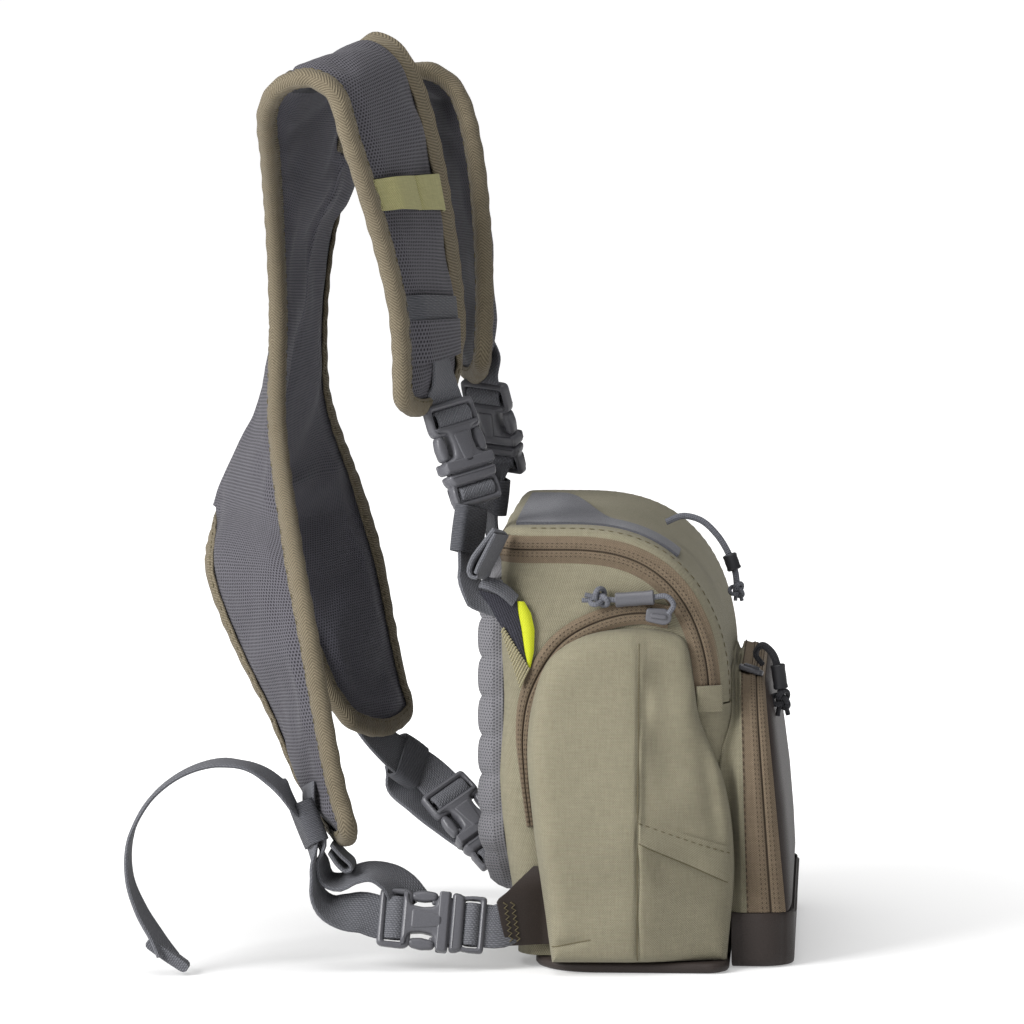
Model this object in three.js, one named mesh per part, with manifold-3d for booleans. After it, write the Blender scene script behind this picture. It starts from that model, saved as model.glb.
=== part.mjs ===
// Chest pack: a small padded bag carried in front of the chest by a padded yoke that
// crosses the back. Millimetres, +Z up, +X forwards, +Y to the wearer's left.
// The bag is drawn standing on the plane z = 0, and the whole part is then shifted so that
// its origin is the nape, where the yoke lies on the wearer.
import * as THREE from 'three';
import { mergeVertices } from 'three/addons/utils/BufferGeometryUtils.js';
import Module from 'manifold-3d';

const wasm = await Module();
wasm.setup();

// Driving dimensions
const GAP = 0.3;
const CLOTH = 1.6;
const BAG = { back: -49, front: 35, halfWidth: 84, top: 161, backRadius: 12, floor: 4.4 };
const LID = { flange: 3.4, backRadius: 4.5, bendStart: -26, frontEnd: 97, crown: 2.5 };
const LID_BEND = { alongPower: 2.6, downPower: 2.2 };
const TAPE = { width: 8.5, thickness: 1.4 };
const SEAM = 0.8;
const SIDE_POCKET = { highDepth: 9, lowDepth: 21, highAt: 118, lowAt: 42, frontLoss: 0.22 };
const FRONT_POCKET = { halfWidth: 82, top: 114, shoulder: 34, bootHeight: 20, wall: 2 };
const BOOT = { front: 58.5, halfWidth: 83, radius: 13 };
const BASE = { back: -40, halfWidth: 100, thickness: 4, radius: 22 };
const BACK_PAD = {
  back: -57, halfWidth: 76, low: 26, high: 141, ribs: 8, ripple: 1.3, edge: 2.4, taper: 0.14, taperRise: 22,
};
const YOKE = { middle: 8, edge: 4.6, binding: 3.6, yaw: -4, at: -101 };
const DRAPE = { tipZ: 55, crownZ: 330, reach: 60, tip: { x: -9, z: 18 }, crown: { x: 8, z: -12 } };
const WEB = { width: 16, thickness: 1.5 };
const BUCKLE = { length: 39, thickness: 7, slotHalf: 8.7 };
const PULL = { diameter: 3, gripRadius: 2.8, bore: 2 };
const NAPE = { x: -118, y: -1.5, z: 284 };

const bendRadius = LID.flange + TAPE.width + SEAM + GAP;
const bagMiddle = new THREE.Vector3((BAG.back + BAG.front) / 2, 0, BAG.top / 2);

// Finishes, one per kind of surface
const FINISH = {
  olive: { color: 0x9d9677, roughness: 0.9, metalness: 0 },
  zip: { color: 0x6f6350, roughness: 0.85, metalness: 0 },
  moulded: { color: 0x3d352f, roughness: 0.75, metalness: 0 },
  mesh: { color: 0x6d6e74, roughness: 0.95, metalness: 0 },
  binding: { color: 0x6b6247, roughness: 0.9, metalness: 0 },
  webbing: { color: 0x5d5f64, roughness: 0.85, metalness: 0 },
  plastic: { color: 0x6c6f75, roughness: 0.5, metalness: 0 },
  leaf: { color: 0x9aa35f, roughness: 0.85, metalness: 0 },
  lime: { color: 0xc9d400, roughness: 0.7, metalness: 0 },
  felt: { color: 0x55565c, roughness: 1, metalness: 0 },
};

const pack = new THREE.Group();
pack.position.set(-NAPE.x, -NAPE.y, -NAPE.z);

function point(x, y, z) {
  return new THREE.Vector3(x, y, z);
}

function mix(from, to, share) {
  return from + (to - from) * share;
}

function ease(from, to, value) {
  const share = Math.min(1, Math.max(0, (value - from) / (to - from)));
  return share * share * (3 - 2 * share);
}

function add(name, geometry, finish, parent = pack) {
  const mesh = new THREE.Mesh(geometry, new THREE.MeshStandardMaterial(FINISH[finish]));
  mesh.name = name;
  parent.add(mesh);
  return mesh;
}

// Closed solid from points and triangles, with its faces turned outwards
function closedSolid(points, triangles) {
  let volume = 0;
  const cross = new THREE.Vector3();
  for (const [a, b, c] of triangles) {
    volume += points[a].dot(cross.crossVectors(points[b], points[c]));
  }
  const index = [];
  for (const [a, b, c] of triangles) {
    index.push(a, volume > 0 ? b : c, volume > 0 ? c : b);
  }
  const geometry = new THREE.BufferGeometry();
  const positions = points.flatMap((p) => [p.x, p.y, p.z]);
  geometry.setAttribute('position', new THREE.Float32BufferAttribute(positions, 3));
  geometry.setIndex(index);
  geometry.computeVertexNormals();
  return geometry;
}

// Solid between two grids of points, joined along their free borders. A wrapped grid closes
// on itself along its rows, and a poled one is capped past its last row.
function solidBetween(outer, inner, { wrap = false, pole = false } = {}) {
  const rows = outer.length;
  const columns = outer[0].length;
  const points = [...outer.flat(), ...inner.flat()];
  const triangles = [];
  const out = (i, j) => i * columns + (j % columns);
  const inn = (i, j) => rows * columns + i * columns + (j % columns);
  const quad = (a, b, c, d) => triangles.push([a, b, c], [a, c, d]);
  const spans = wrap ? columns : columns - 1;
  for (let j = 0; j < spans; j += 1) {
    for (let i = 0; i < rows - 1; i += 1) {
      quad(out(i, j), out(i + 1, j), out(i + 1, j + 1), out(i, j + 1));
      quad(inn(i, j), inn(i, j + 1), inn(i + 1, j + 1), inn(i + 1, j));
    }
    quad(out(0, j), out(0, j + 1), inn(0, j + 1), inn(0, j));
    if (!pole) {
      const last = rows - 1;
      quad(out(last, j + 1), out(last, j), inn(last, j), inn(last, j + 1));
    }
  }
  if (!wrap) {
    const end = columns - 1;
    for (let i = 0; i < rows - 1; i += 1) {
      quad(out(i + 1, 0), out(i, 0), inn(i, 0), inn(i + 1, 0));
      quad(out(i, end), out(i + 1, end), inn(i + 1, end), inn(i, end));
    }
  }
  if (pole) {
    const last = rows - 1;
    const outerPole = points.push(middleOf(outer[last])) - 1;
    const innerPole = points.push(middleOf(inner[last])) - 1;
    for (let j = 0; j < columns; j += 1) {
      triangles.push([out(last, j + 1), out(last, j), outerPole]);
      triangles.push([inn(last, j), inn(last, j + 1), innerPole]);
    }
  }
  return closedSolid(points, triangles);
}

function middleOf(points) {
  const sum = new THREE.Vector3();
  points.forEach((p) => sum.add(p));
  return sum.divideScalar(points.length);
}

// Normals of a grid, all turned to the side away from a point inside
function gridNormals(grid, inside, wrap) {
  const rows = grid.length;
  const columns = grid[0].length;
  const normals = grid.map((row, i) => row.map((p, j) => {
    const before = wrap ? (j + columns - 1) % columns : Math.max(j - 1, 0);
    const after = wrap ? (j + 1) % columns : Math.min(j + 1, columns - 1);
    const along = grid[Math.min(i + 1, rows - 1)][j].clone().sub(grid[Math.max(i - 1, 0)][j]);
    const across = row[after].clone().sub(row[before]);
    return along.cross(across).normalize();
  }));
  let facing = 0;
  grid.forEach((row, i) => row.forEach((p, j) => {
    facing += normals[i][j].dot(p.clone().sub(inside));
  }));
  if (facing < 0) {
    normals.flat().forEach((n) => n.negate());
  }
  return normals;
}

function shifted(grid, normals, distance) {
  const far = typeof distance === 'function' ? distance : () => distance;
  return grid.map((row, i) => row.map((p, j) => p.clone().addScaledVector(normals[i][j], far(i, j))));
}

// Wall of even thickness inside a grid
function wallInside(grid, wall, inside, options = {}) {
  const normals = gridNormals(grid, inside, options.wrap);
  return solidBetween(grid, shifted(grid, normals, -wall), options);
}

// Slab with a grid in the middle of its thickness
function slabAround(grid, thickness, options = {}) {
  const normals = gridNormals(grid, options.inside ?? bagMiddle, options.wrap);
  const half = typeof thickness === 'function' ? thickness : () => thickness;
  const front = shifted(grid, normals, (i, j) => half(i, j) / 2);
  const back = shifted(grid, normals, (i, j) => -half(i, j) / 2);
  return solidBetween(front, back, options);
}

function toManifold(geometry) {
  const bare = geometry.clone();
  bare.deleteAttribute('normal');
  bare.deleteAttribute('uv');
  const merged = mergeVertices(bare, 1e-4);
  const vertProperties = Float32Array.from(merged.attributes.position.array);
  const triVerts = Uint32Array.from(merged.index.array);
  return new wasm.Manifold(new wasm.Mesh({ numProp: 3, vertProperties, triVerts }));
}

function fromManifold(solid) {
  const mesh = solid.getMesh();
  const geometry = new THREE.BufferGeometry();
  geometry.setAttribute('position', new THREE.Float32BufferAttribute(mesh.vertProperties, 3));
  geometry.setIndex(Array.from(mesh.triVerts));
  geometry.computeVertexNormals();
  return geometry;
}

// Plan of the bag: a rectangle with rounded corners
function planHalfWidth(x) {
  const { back, front, halfWidth, backRadius } = BAG;
  const intoBack = Math.max(0, back + backRadius - x);
  const intoFront = Math.max(0, x - (front - bendRadius));
  if (intoBack > 0) {
    return halfWidth - backRadius + Math.sqrt(Math.max(0, backRadius ** 2 - intoBack ** 2));
  }
  return halfWidth - bendRadius + Math.sqrt(Math.max(0, bendRadius ** 2 - intoFront ** 2));
}

function planFrontX(y) {
  const intoCorner = Math.max(0, Math.abs(y) - (BAG.halfWidth - bendRadius));
  return BAG.front - bendRadius + Math.sqrt(Math.max(0, bendRadius ** 2 - intoCorner ** 2));
}

function arcPoints(centerX, centerY, radius, fromDegrees, toDegrees, steps) {
  const points = [];
  for (let k = 0; k <= steps; k += 1) {
    const angle = THREE.MathUtils.degToRad(mix(fromDegrees, toDegrees, k / steps));
    points.push([centerX + radius * Math.cos(angle), centerY + radius * Math.sin(angle)]);
  }
  return points;
}

// Side profile of the lid: up over the back edge, along the top, down the rounded front
function lidProfile() {
  const points = [];
  const backSteps = 3;
  const startAngle = Math.PI - Math.asin(1 - LID.flange / LID.backRadius);
  for (let k = 0; k <= backSteps; k += 1) {
    const angle = mix(startAngle, Math.PI / 2, k / backSteps);
    const x = BAG.back + LID.backRadius * (1 + Math.cos(angle));
    points.push([x, BAG.top - LID.backRadius * (1 - Math.sin(angle))]);
  }
  points.push([BAG.back + BAG.backRadius, BAG.top]);
  const bendSteps = 9;
  for (let k = 0; k <= bendSteps; k += 1) {
    const angle = (Math.PI / 2) * (k / bendSteps);
    const along = Math.sin(angle) ** (2 / LID_BEND.alongPower);
    const down = Math.max(0, Math.cos(angle)) ** (2 / LID_BEND.downPower);
    const x = mix(LID.bendStart, BAG.front, along);
    points.push([x, mix(LID.frontEnd, BAG.top, down)]);
  }
  const last = points.length - 1;
  return points.map(([x, z], k) => {
    const [x0, z0] = points[Math.max(k - 1, 0)];
    const [x1, z1] = points[Math.min(k + 1, last)];
    const normal = new THREE.Vector2(z0 - z1, x1 - x0).normalize();
    if (k === last) normal.set(1, 0);
    return { x, z, nx: normal.x, nz: normal.y };
  });
}

const profile = lidProfile();
const firstSideStation = profile.findIndex((p) => p.x >= BAG.back + BAG.backRadius - 0.01);
const sideStations = profile.slice(firstSideStation);

function inward(station, depth) {
  return { x: station.x - station.nx * depth, z: station.z - station.nz * depth };
}

// Lid: a sheet over the profile with its two long edges turned down to the zip
function makeLid() {
  const cornerShares = [1, 0.66, 0.33, 0];
  const grid = profile.map((station) => {
    const flange = LID.flange * (1 - 0.5 * Math.max(0, -station.nx));
    const edge = inward(station, flange);
    const edgeY = planHalfWidth(edge.x);
    const radius = LID.flange + 0.4 + (bendRadius - LID.flange) * Math.max(0, station.nx) ** 2;
    const turn = Math.acos(1 - flange / radius);
    const flatY = edgeY - radius * Math.sin(turn);
    const half = cornerShares.map((share) => {
      const angle = turn * share;
      return { y: flatY + radius * Math.sin(angle), depth: radius * (1 - Math.cos(angle)) };
    });
    const crown = LID.crown * Math.max(0, station.nz) ** 2;
    half.push({ y: flatY * 0.55, depth: -crown * 0.7 });
    const columns = [
      ...half.map(({ y, depth }) => ({ y: -y, depth })),
      { y: 0, depth: -crown },
      ...half.reverse(),
    ];
    return columns.map(({ y, depth }) => {
      const at = inward(station, depth);
      return point(at.x, y, at.z);
    });
  });
  add('lid', wallInside(grid, CLOTH, bagMiddle), 'olive');
}

// Zip round the lid: along one side, across the back and along the other side
function makeLidZip() {
  const depths = [LID.flange + SEAM, LID.flange + SEAM + TAPE.width];
  const side = sideStations.map((station) => depths.map((depth) => {
    const at = inward(station, depth);
    return point(at.x, planHalfWidth(at.x), at.z);
  }));
  const centerX = BAG.back + BAG.backRadius;
  const centerY = BAG.halfWidth - BAG.backRadius;
  const corner = arcPoints(centerX, centerY, BAG.backRadius, 90, 180, 4).slice(1);
  const aroundBack = [...corner, [BAG.back, 0]];
  const turned = aroundBack.map(([x, y]) => depths.map((depth) => point(x, y, BAG.top - depth)));
  const half = [...side.reverse(), ...turned];
  const mirrored = half.slice(0, -1).reverse().map((row) => row.map((p) => point(p.x, -p.y, p.z)));
  add('lid_zip', slabAround([...half, ...mirrored], TAPE.thickness), 'zip');
}

// Body: the walls of the main compartment, open at the top inside the zip line, and its floor
function makeBody() {
  const rimDepth = bendRadius;
  const near = sideStations.map((station) => inward(station, rimDepth));
  const cornerX = BAG.front - bendRadius;
  const cornerY = BAG.halfWidth - bendRadius;
  const backX = BAG.back + BAG.backRadius;
  const backY = BAG.halfWidth - BAG.backRadius;
  const frontRim = LID.frontEnd - 2 * GAP;
  const backRim = BAG.top - rimDepth;
  const half = [
    ...near.map(({ x, z }) => ({ x: Math.min(x, cornerX), y: BAG.halfWidth, rim: Math.min(z, backRim) })),
    ...arcPoints(cornerX, cornerY, bendRadius, 90, 0, 3).slice(1).map(([x, y]) => ({ x, y, rim: frontRim })),
    { x: BAG.front, y: 0, rim: frontRim },
  ];
  half[near.length - 1].rim = frontRim;
  const backHalf = [
    { x: BAG.back, y: 0, rim: backRim },
    ...arcPoints(backX, backY, BAG.backRadius, 180, 90, 3).slice(0, -1).map(([x, y]) => ({ x, y, rim: backRim })),
  ];
  const farSide = [...backHalf, ...half];
  const nearSide = farSide.slice(1, -1).reverse().map((p) => ({ ...p, y: -p.y }));
  const ring = [...farSide, ...nearSide];
  const heights = [1, 0.7, 0.4, 0.12, 0];
  const rows = heights.map((share) => ring.map(({ x, y, rim }) => point(x, y, mix(BAG.floor, rim, share))));
  add('main_body', wallInside(rows, CLOTH, bagMiddle, { wrap: true }), 'olive');

  const inset = CLOTH + 2 * GAP;
  const halfDepth = (BAG.front - BAG.back) / 2;
  const floorAt = (z) => ring.map(({ x, y }) => {
    const shrunkX = mix(bagMiddle.x, x, 1 - inset / halfDepth);
    return point(shrunkX, y * (1 - inset / BAG.halfWidth), z);
  });
  const floorLow = BAG.floor + GAP;
  add('body_floor', ringLoft([floorAt(floorLow + CLOTH), floorAt(floorLow)]), 'olive');
}

// Bowl raised from an outline that is star-shaped about its middle
const BOWL_ROWS = [
  { scale: 1, rise: 0 },
  { scale: 0.985, rise: 0.45 },
  { scale: 0.95, rise: 0.76 },
  { scale: 0.87, rise: 0.93 },
  { scale: 0.55, rise: 1 },
];

function bowlRise(scale) {
  for (let k = 1; k < BOWL_ROWS.length; k += 1) {
    const outerRow = BOWL_ROWS[k - 1];
    const innerRow = BOWL_ROWS[k];
    if (scale >= innerRow.scale) {
      const share = (outerRow.scale - scale) / (outerRow.scale - innerRow.scale);
      return mix(outerRow.rise, innerRow.rise, Math.max(0, share));
    }
  }
  return 1;
}

// Side pocket outline, seen from the side, from its back foot over the arch to its front foot
const POCKET_OUTLINE = [
  { x: -31, z: 4.7 }, { x: -31.5, z: 40 }, { x: -33.6, z: 76 }, { x: -28.5, z: 104 },
  { x: -14, z: 120.5 }, { x: 2, z: 125.5 }, { x: 13.5, z: 122 }, { x: 19.5, z: 108 },
  { x: 23.5, z: 91 }, { x: 33, z: 68 }, { x: 36.5, z: 40 }, { x: 34, z: 4.7 },
];
const pocketMiddle = { x: 2, z: 58 };
const pocketSeat = BAG.halfWidth + SEAM;

function pocketRing() {
  const curve = new THREE.CatmullRomCurve3(POCKET_OUTLINE.map(({ x, z }) => point(x, 0, z)));
  const ring = curve.getSpacedPoints(24);
  const foot = POCKET_OUTLINE[0];
  const toe = POCKET_OUTLINE[POCKET_OUTLINE.length - 1];
  for (const share of [0.25, 0.5, 0.75]) {
    ring.push(point(mix(toe.x, foot.x, share), 0, foot.z));
  }
  return ring;
}

const pocketOutline = pocketRing();

// Share of the way from the pocket's middle to its outline
function pocketScale(x, z) {
  const dx = x - pocketMiddle.x;
  const dz = z - pocketMiddle.z;
  for (let k = 0; k < pocketOutline.length; k += 1) {
    const a = pocketOutline[k];
    const b = pocketOutline[(k + 1) % pocketOutline.length];
    const ax = a.x - pocketMiddle.x;
    const az = a.z - pocketMiddle.z;
    const ex = b.x - a.x;
    const ez = b.z - a.z;
    const turn = dx * ez - dz * ex;
    if (Math.abs(turn) < 1e-9) continue;
    const reach = (ax * ez - az * ex) / turn;
    const along = (ax * dz - az * dx) / turn;
    if (reach > 0 && along >= -1e-6 && along <= 1 + 1e-6) return 1 / reach;
  }
  return 0;
}

const POCKET_GROOVE = { depth: 1.1, width: 3 };
const POCKET_FOLD = { x: 24, z: 100, slope: 0.1, height: 2.2, width: 5.5, fadeLow: 45, fadeHigh: 70 };
const POCKET_SLOPE = { from: 8, to: 37 };

function bump(offset, width) {
  return Math.exp(-((offset / width) ** 2));
}

// How far the pocket stands out: full at the foot, shallow under the arch, with a groove at
// the upright seam and a soft standing fold in front of it
function pocketFullness(x, z) {
  const { highDepth, lowDepth, highAt, lowAt, frontLoss } = SIDE_POCKET;
  const groove = POCKET_GROOVE.depth * bump(x - pocketMiddle.x, POCKET_GROOVE.width);
  const foldX = POCKET_FOLD.x - POCKET_FOLD.slope * (POCKET_FOLD.z - z);
  const foldShare = ease(POCKET_FOLD.fadeLow, POCKET_FOLD.fadeHigh, z);
  const fold = POCKET_FOLD.height * bump(x - foldX, POCKET_FOLD.width) * foldShare;
  const depth = mix(lowDepth, highDepth, ease(lowAt, highAt, z));
  return depth * (1 - frontLoss * ease(POCKET_SLOPE.from, POCKET_SLOPE.to, x)) - groove + fold;
}

function pocketHeight(x, z) {
  return pocketFullness(x, z) * bowlRise(pocketScale(x, z));
}

// Hem of the pocket's front half, which hangs over the slot below it
const HEM = { x: 4, z: 53.5, fall: 14.5, drop: 6, stand: 1.4, margin: 4.2 };

function pocketFrontEdge(z) {
  for (let k = 6; k < POCKET_OUTLINE.length - 1; k += 1) {
    const a = POCKET_OUTLINE[k];
    const b = POCKET_OUTLINE[k + 1];
    if (z <= a.z && z >= b.z) return mix(a.x, b.x, (a.z - z) / (a.z - b.z));
  }
  return POCKET_OUTLINE[POCKET_OUTLINE.length - 1].x;
}

// Arch of the side pocket's zip, the middle line of its tape
const ARCH = [
  { x: -36.6, z: 46 }, { x: -38.4, z: 76 }, { x: -32.8, z: 107.5 }, { x: -16, z: 125 },
  { x: 0, z: 130 }, { x: 12.5, z: 128.4 },
];
const ARCH_WIDTH = 7.4;

function makeSidePocket(side, label) {
  const rows = BOWL_ROWS.map(({ scale, rise }) => pocketOutline.map((edge) => {
    const x = mix(pocketMiddle.x, edge.x, scale);
    const z = mix(pocketMiddle.z, edge.z, scale);
    return point(x, side * (pocketSeat + pocketFullness(x, z) * rise), z);
  }));
  const inside = point(pocketMiddle.x, side * pocketSeat, pocketMiddle.z);
  add(`side_pocket_${label}`, wallInside(rows, CLOTH, inside, { wrap: true, pole: true }), 'olive');

  const flapRows = [0, 0.5, 1];
  const flapColumns = [0, 0.2, 0.4, 0.6, 0.8, 0.9, 1];
  const flap = flapRows.map((down) => flapColumns.map((across) => {
    const z = HEM.z - HEM.fall * across - HEM.drop * down;
    const x = mix(HEM.x, pocketFrontEdge(z) - HEM.margin, across);
    return point(x, side * (pocketSeat + pocketHeight(x, z) + HEM.stand), z);
  }));
  add(`pocket_flap_${label}`, slabAround(flap, 1), 'olive');

  const arch = new THREE.CatmullRomCurve3(ARCH.map(({ x, z }) => point(x, 0, z)));
  const steps = 13;
  const tape = [];
  for (let k = 0; k <= steps; k += 1) {
    const middle = arch.getPoint(k / steps);
    const tangent = arch.getTangent(k / steps);
    tape.push([-0.5, 0.5].map((share) => point(
      middle.x - tangent.z * share * ARCH_WIDTH,
      side * (pocketSeat + TAPE.thickness / 2),
      middle.z + tangent.x * share * ARCH_WIDTH,
    )));
  }
  add(`side_zip_${label}`, slabAround(tape, TAPE.thickness), 'zip');
}

// Front pocket: a gusset arched over the bag's front, a zip tape, a moulded panel and a boot
function frontArch(stepsUp, stepsRound, low) {
  const { halfWidth, top, shoulder } = FRONT_POCKET;
  const points = [];
  for (let k = 0; k < stepsUp; k += 1) {
    points.push({ y: -halfWidth, z: mix(low, top - shoulder, k / stepsUp), ny: -1, nz: 0 });
  }
  for (let k = 0; k <= stepsRound; k += 1) {
    const angle = Math.PI - (Math.PI / 2) * (k / stepsRound);
    const ny = Math.cos(angle);
    const nz = Math.sin(angle);
    const y = -halfWidth + shoulder * (1 + ny);
    points.push({ y, z: top - shoulder * (1 - nz), ny, nz });
  }
  points.push({ y: 0, z: top, ny: 0, nz: 1 });
  const mirrored = points.slice(0, -1).reverse().map((p) => ({ ...p, y: -p.y, ny: -p.ny }));
  return [...points, ...mirrored];
}

// Front zip: its back edge leans forwards and its tape widens towards the foot
const FRONT_TAPE = { footX: 41, browX: 38.2, footWidth: 14, browWidth: 8.5, lean: 2.6 };

function frontTapeShare(z) {
  return (z - FRONT_POCKET.bootHeight) / (FRONT_POCKET.top - FRONT_POCKET.bootHeight);
}

function frontZipX(z) {
  return mix(FRONT_TAPE.footX, FRONT_TAPE.browX, frontTapeShare(z));
}

function frontTapeEndX(z) {
  return frontZipX(z) + mix(FRONT_TAPE.footWidth, FRONT_TAPE.browWidth, frontTapeShare(z));
}

// Face of the moulded panel at mid width, from its foot to its brow
const PANEL_FACE = [
  { z: 20, x: 58 }, { z: 40, x: 57 }, { z: 58, x: 55.5 }, { z: 77, x: 53 },
  { z: 92, x: 51 }, { z: 112, x: 48.8 },
];

function panelFaceX(z) {
  for (let k = 1; k < PANEL_FACE.length; k += 1) {
    const low = PANEL_FACE[k - 1];
    const high = PANEL_FACE[k];
    if (z <= high.z) return mix(low.x, high.x, Math.max(0, (z - low.z) / (high.z - low.z)));
  }
  return PANEL_FACE[PANEL_FACE.length - 1].x;
}

function makeFrontPocket() {
  const low = FRONT_POCKET.bootHeight + GAP;
  const arch = frontArch(4, 5, low);
  const { lean } = FRONT_TAPE;
  const gusset = arch.map(({ y, z }) => {
    const innerY = Math.max(0, Math.abs(y) - CLOTH);
    const backX = planFrontX(innerY) + SEAM;
    return [point(backX, y, z), point(frontZipX(z) - SEAM, y, z)];
  });
  const inside = point(BAG.front, 0, 50);
  add('front_gusset', wallInside(gusset, CLOTH, inside), 'olive');

  const tape = arch.map(({ y, z, ny, nz }) => {
    const frontEdge = point(frontTapeEndX(z), y - ny * lean, z - nz * lean);
    return [point(frontZipX(z), y, z), frontEdge];
  });
  add('front_zip', wallInside(tape, TAPE.thickness, inside), 'zip');

  const inset = lean + TAPE.thickness + SEAM;
  const middle = { y: 0, z: 55 };
  const ring = frontArch(4, 5, low).map(({ y, z, ny, nz }) => ({ y: y - ny * inset, z: z - nz * inset }));
  const foot = ring[0];
  for (const share of [0.75, 0.5, 0.25, 0, -0.25, -0.5, -0.75]) {
    ring.push({ y: -share * foot.y, z: low });
  }
  const rows = BOWL_ROWS.map(({ scale, rise }) => ring.map((edge) => {
    const y = mix(middle.y, edge.y, scale);
    const z = mix(middle.z, edge.z, scale);
    const edgeX = frontTapeEndX(z) + SEAM;
    return point(mix(edgeX, panelFaceX(z), rise), y, z);
  }));
  add('front_panel', wallInside(rows, FRONT_POCKET.wall, inside, { wrap: true, pole: true }), 'moulded');

  const backX = BAG.front + 2 * GAP;
  const { front, halfWidth, radius } = BOOT;
  const corner = arcPoints(front - radius, halfWidth - radius, radius, 90, 0, 4);
  const half = [[backX, 0], [backX, halfWidth * 0.6], [backX, halfWidth], ...corner, [front, 0]];
  const plan = [...half, ...half.slice(1, -1).reverse().map(([x, y]) => [x, -y])];
  const bootMiddle = point((backX + front) / 2, 0, FRONT_POCKET.bootHeight / 2);
  const bootRows = [
    { z: FRONT_POCKET.bootHeight, scale: 1 }, { z: 3, scale: 1 }, { z: 0, scale: 0.97 },
  ].map(({ z, scale }) => plan.map(([x, y]) => point(mix(bootMiddle.x, x, scale), y * scale, z)));
  const options = { wrap: true, pole: true };
  add('front_boot', wallInside(bootRows, FRONT_POCKET.wall, bootMiddle, options), 'moulded');
}

// Solid lofted through closed rings and capped at both ends
function ringLoft(rings) {
  const columns = rings[0].length;
  const points = rings.flat();
  const triangles = [];
  const at = (i, j) => i * columns + (j % columns);
  for (let i = 0; i < rings.length - 1; i += 1) {
    for (let j = 0; j < columns; j += 1) {
      triangles.push([at(i, j), at(i + 1, j), at(i + 1, j + 1)]);
      triangles.push([at(i, j), at(i + 1, j + 1), at(i, j + 1)]);
    }
  }
  const first = points.push(middleOf(rings[0])) - 1;
  const last = points.push(middleOf(rings[rings.length - 1])) - 1;
  for (let j = 0; j < columns; j += 1) {
    triangles.push([at(0, j + 1), first, at(0, j)]);
    triangles.push([at(rings.length - 1, j), last, at(rings.length - 1, j + 1)]);
  }
  return closedSolid(points, triangles);
}

// Base: a flat moulded sole under the body and the side pockets
function makeBase() {
  const { back, halfWidth, thickness, radius } = BASE;
  const front = BAG.front;
  const corners = [
    [front - radius / 3, halfWidth - radius / 3, radius / 3, 0],
    [back + radius, halfWidth - radius, radius, 90],
    [back + radius, -halfWidth + radius, radius, 180],
    [front - radius / 3, -halfWidth + radius / 3, radius / 3, 270],
  ];
  const plan = corners.flatMap(([x, y, r, from]) => arcPoints(x, y, r, from, from + 90, 4));
  const middleX = (back + front) / 2;
  const ringAt = (z, inset) => plan.map(([x, y]) => {
    const scaleX = 1 - inset / (front - middleX);
    return point(mix(middleX, x, scaleX), y * (1 - inset / halfWidth), z);
  });
  const rings = [ringAt(thickness, 0.6), ringAt(thickness * 0.6, 0), ringAt(0, 2)];
  add('base_panel', ringLoft(rings), 'moulded');
}

// Back pad: spacer mesh quilted into level ribs, with a scalloped edge
function makeBackPad() {
  const { back, halfWidth, low, high, ribs, ripple, edge: edgeThick, taper: narrowing, taperRise } = BACK_PAD;
  const shoulderShare = 0.9;
  const innerLean = 0.65;
  const wallX = BAG.back - 2 * GAP;
  const rowCount = ribs * 2;
  const columns = [-1, -shoulderShare, 0, shoulderShare, 1];
  const outer = [];
  const inner = [];
  for (let i = 0; i <= rowCount; i += 1) {
    const z = mix(low, high, i / rowCount);
    const swell = i % 2 === 1 ? ripple : -ripple;
    const taper = 1 - narrowing * ease(low + taperRise, low, z);
    outer.push(columns.map((share) => {
      const edge = Math.abs(share) === 1;
      const x = edge ? wallX - edgeThick : back - swell;
      const y = share * halfWidth * taper + (edge ? Math.sign(share) * swell : 0);
      return point(x, y, z);
    }));
    inner.push(columns.map((share) => {
      const lean = Math.abs(share) === 1 ? innerLean : 0;
      return point(wallX - lean, share * (halfWidth * taper - GAP), z);
    }));
  }
  add('back_pad', solidBetween(outer, inner), 'mesh');
}

// Grey patch on the lid, following its profile
function makePatch() {
  const stand = 0.5;
  const edges = { near: -58, far: 50 };
  const stations = profile.filter(({ x, z }) => x >= BAG.back + LID.backRadius - 0.01 && z > BAG.top - 12);
  const grid = stations.map((station) => [0, 0.25, 0.5, 0.75, 1].map((share) => {
    const y = mix(edges.near, edges.far, share);
    const at = inward(station, -LID.crown - stand);
    return point(at.x, y, at.z);
  }));
  add('lid_patch', slabAround(grid, 0.8), 'felt');
}

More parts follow.
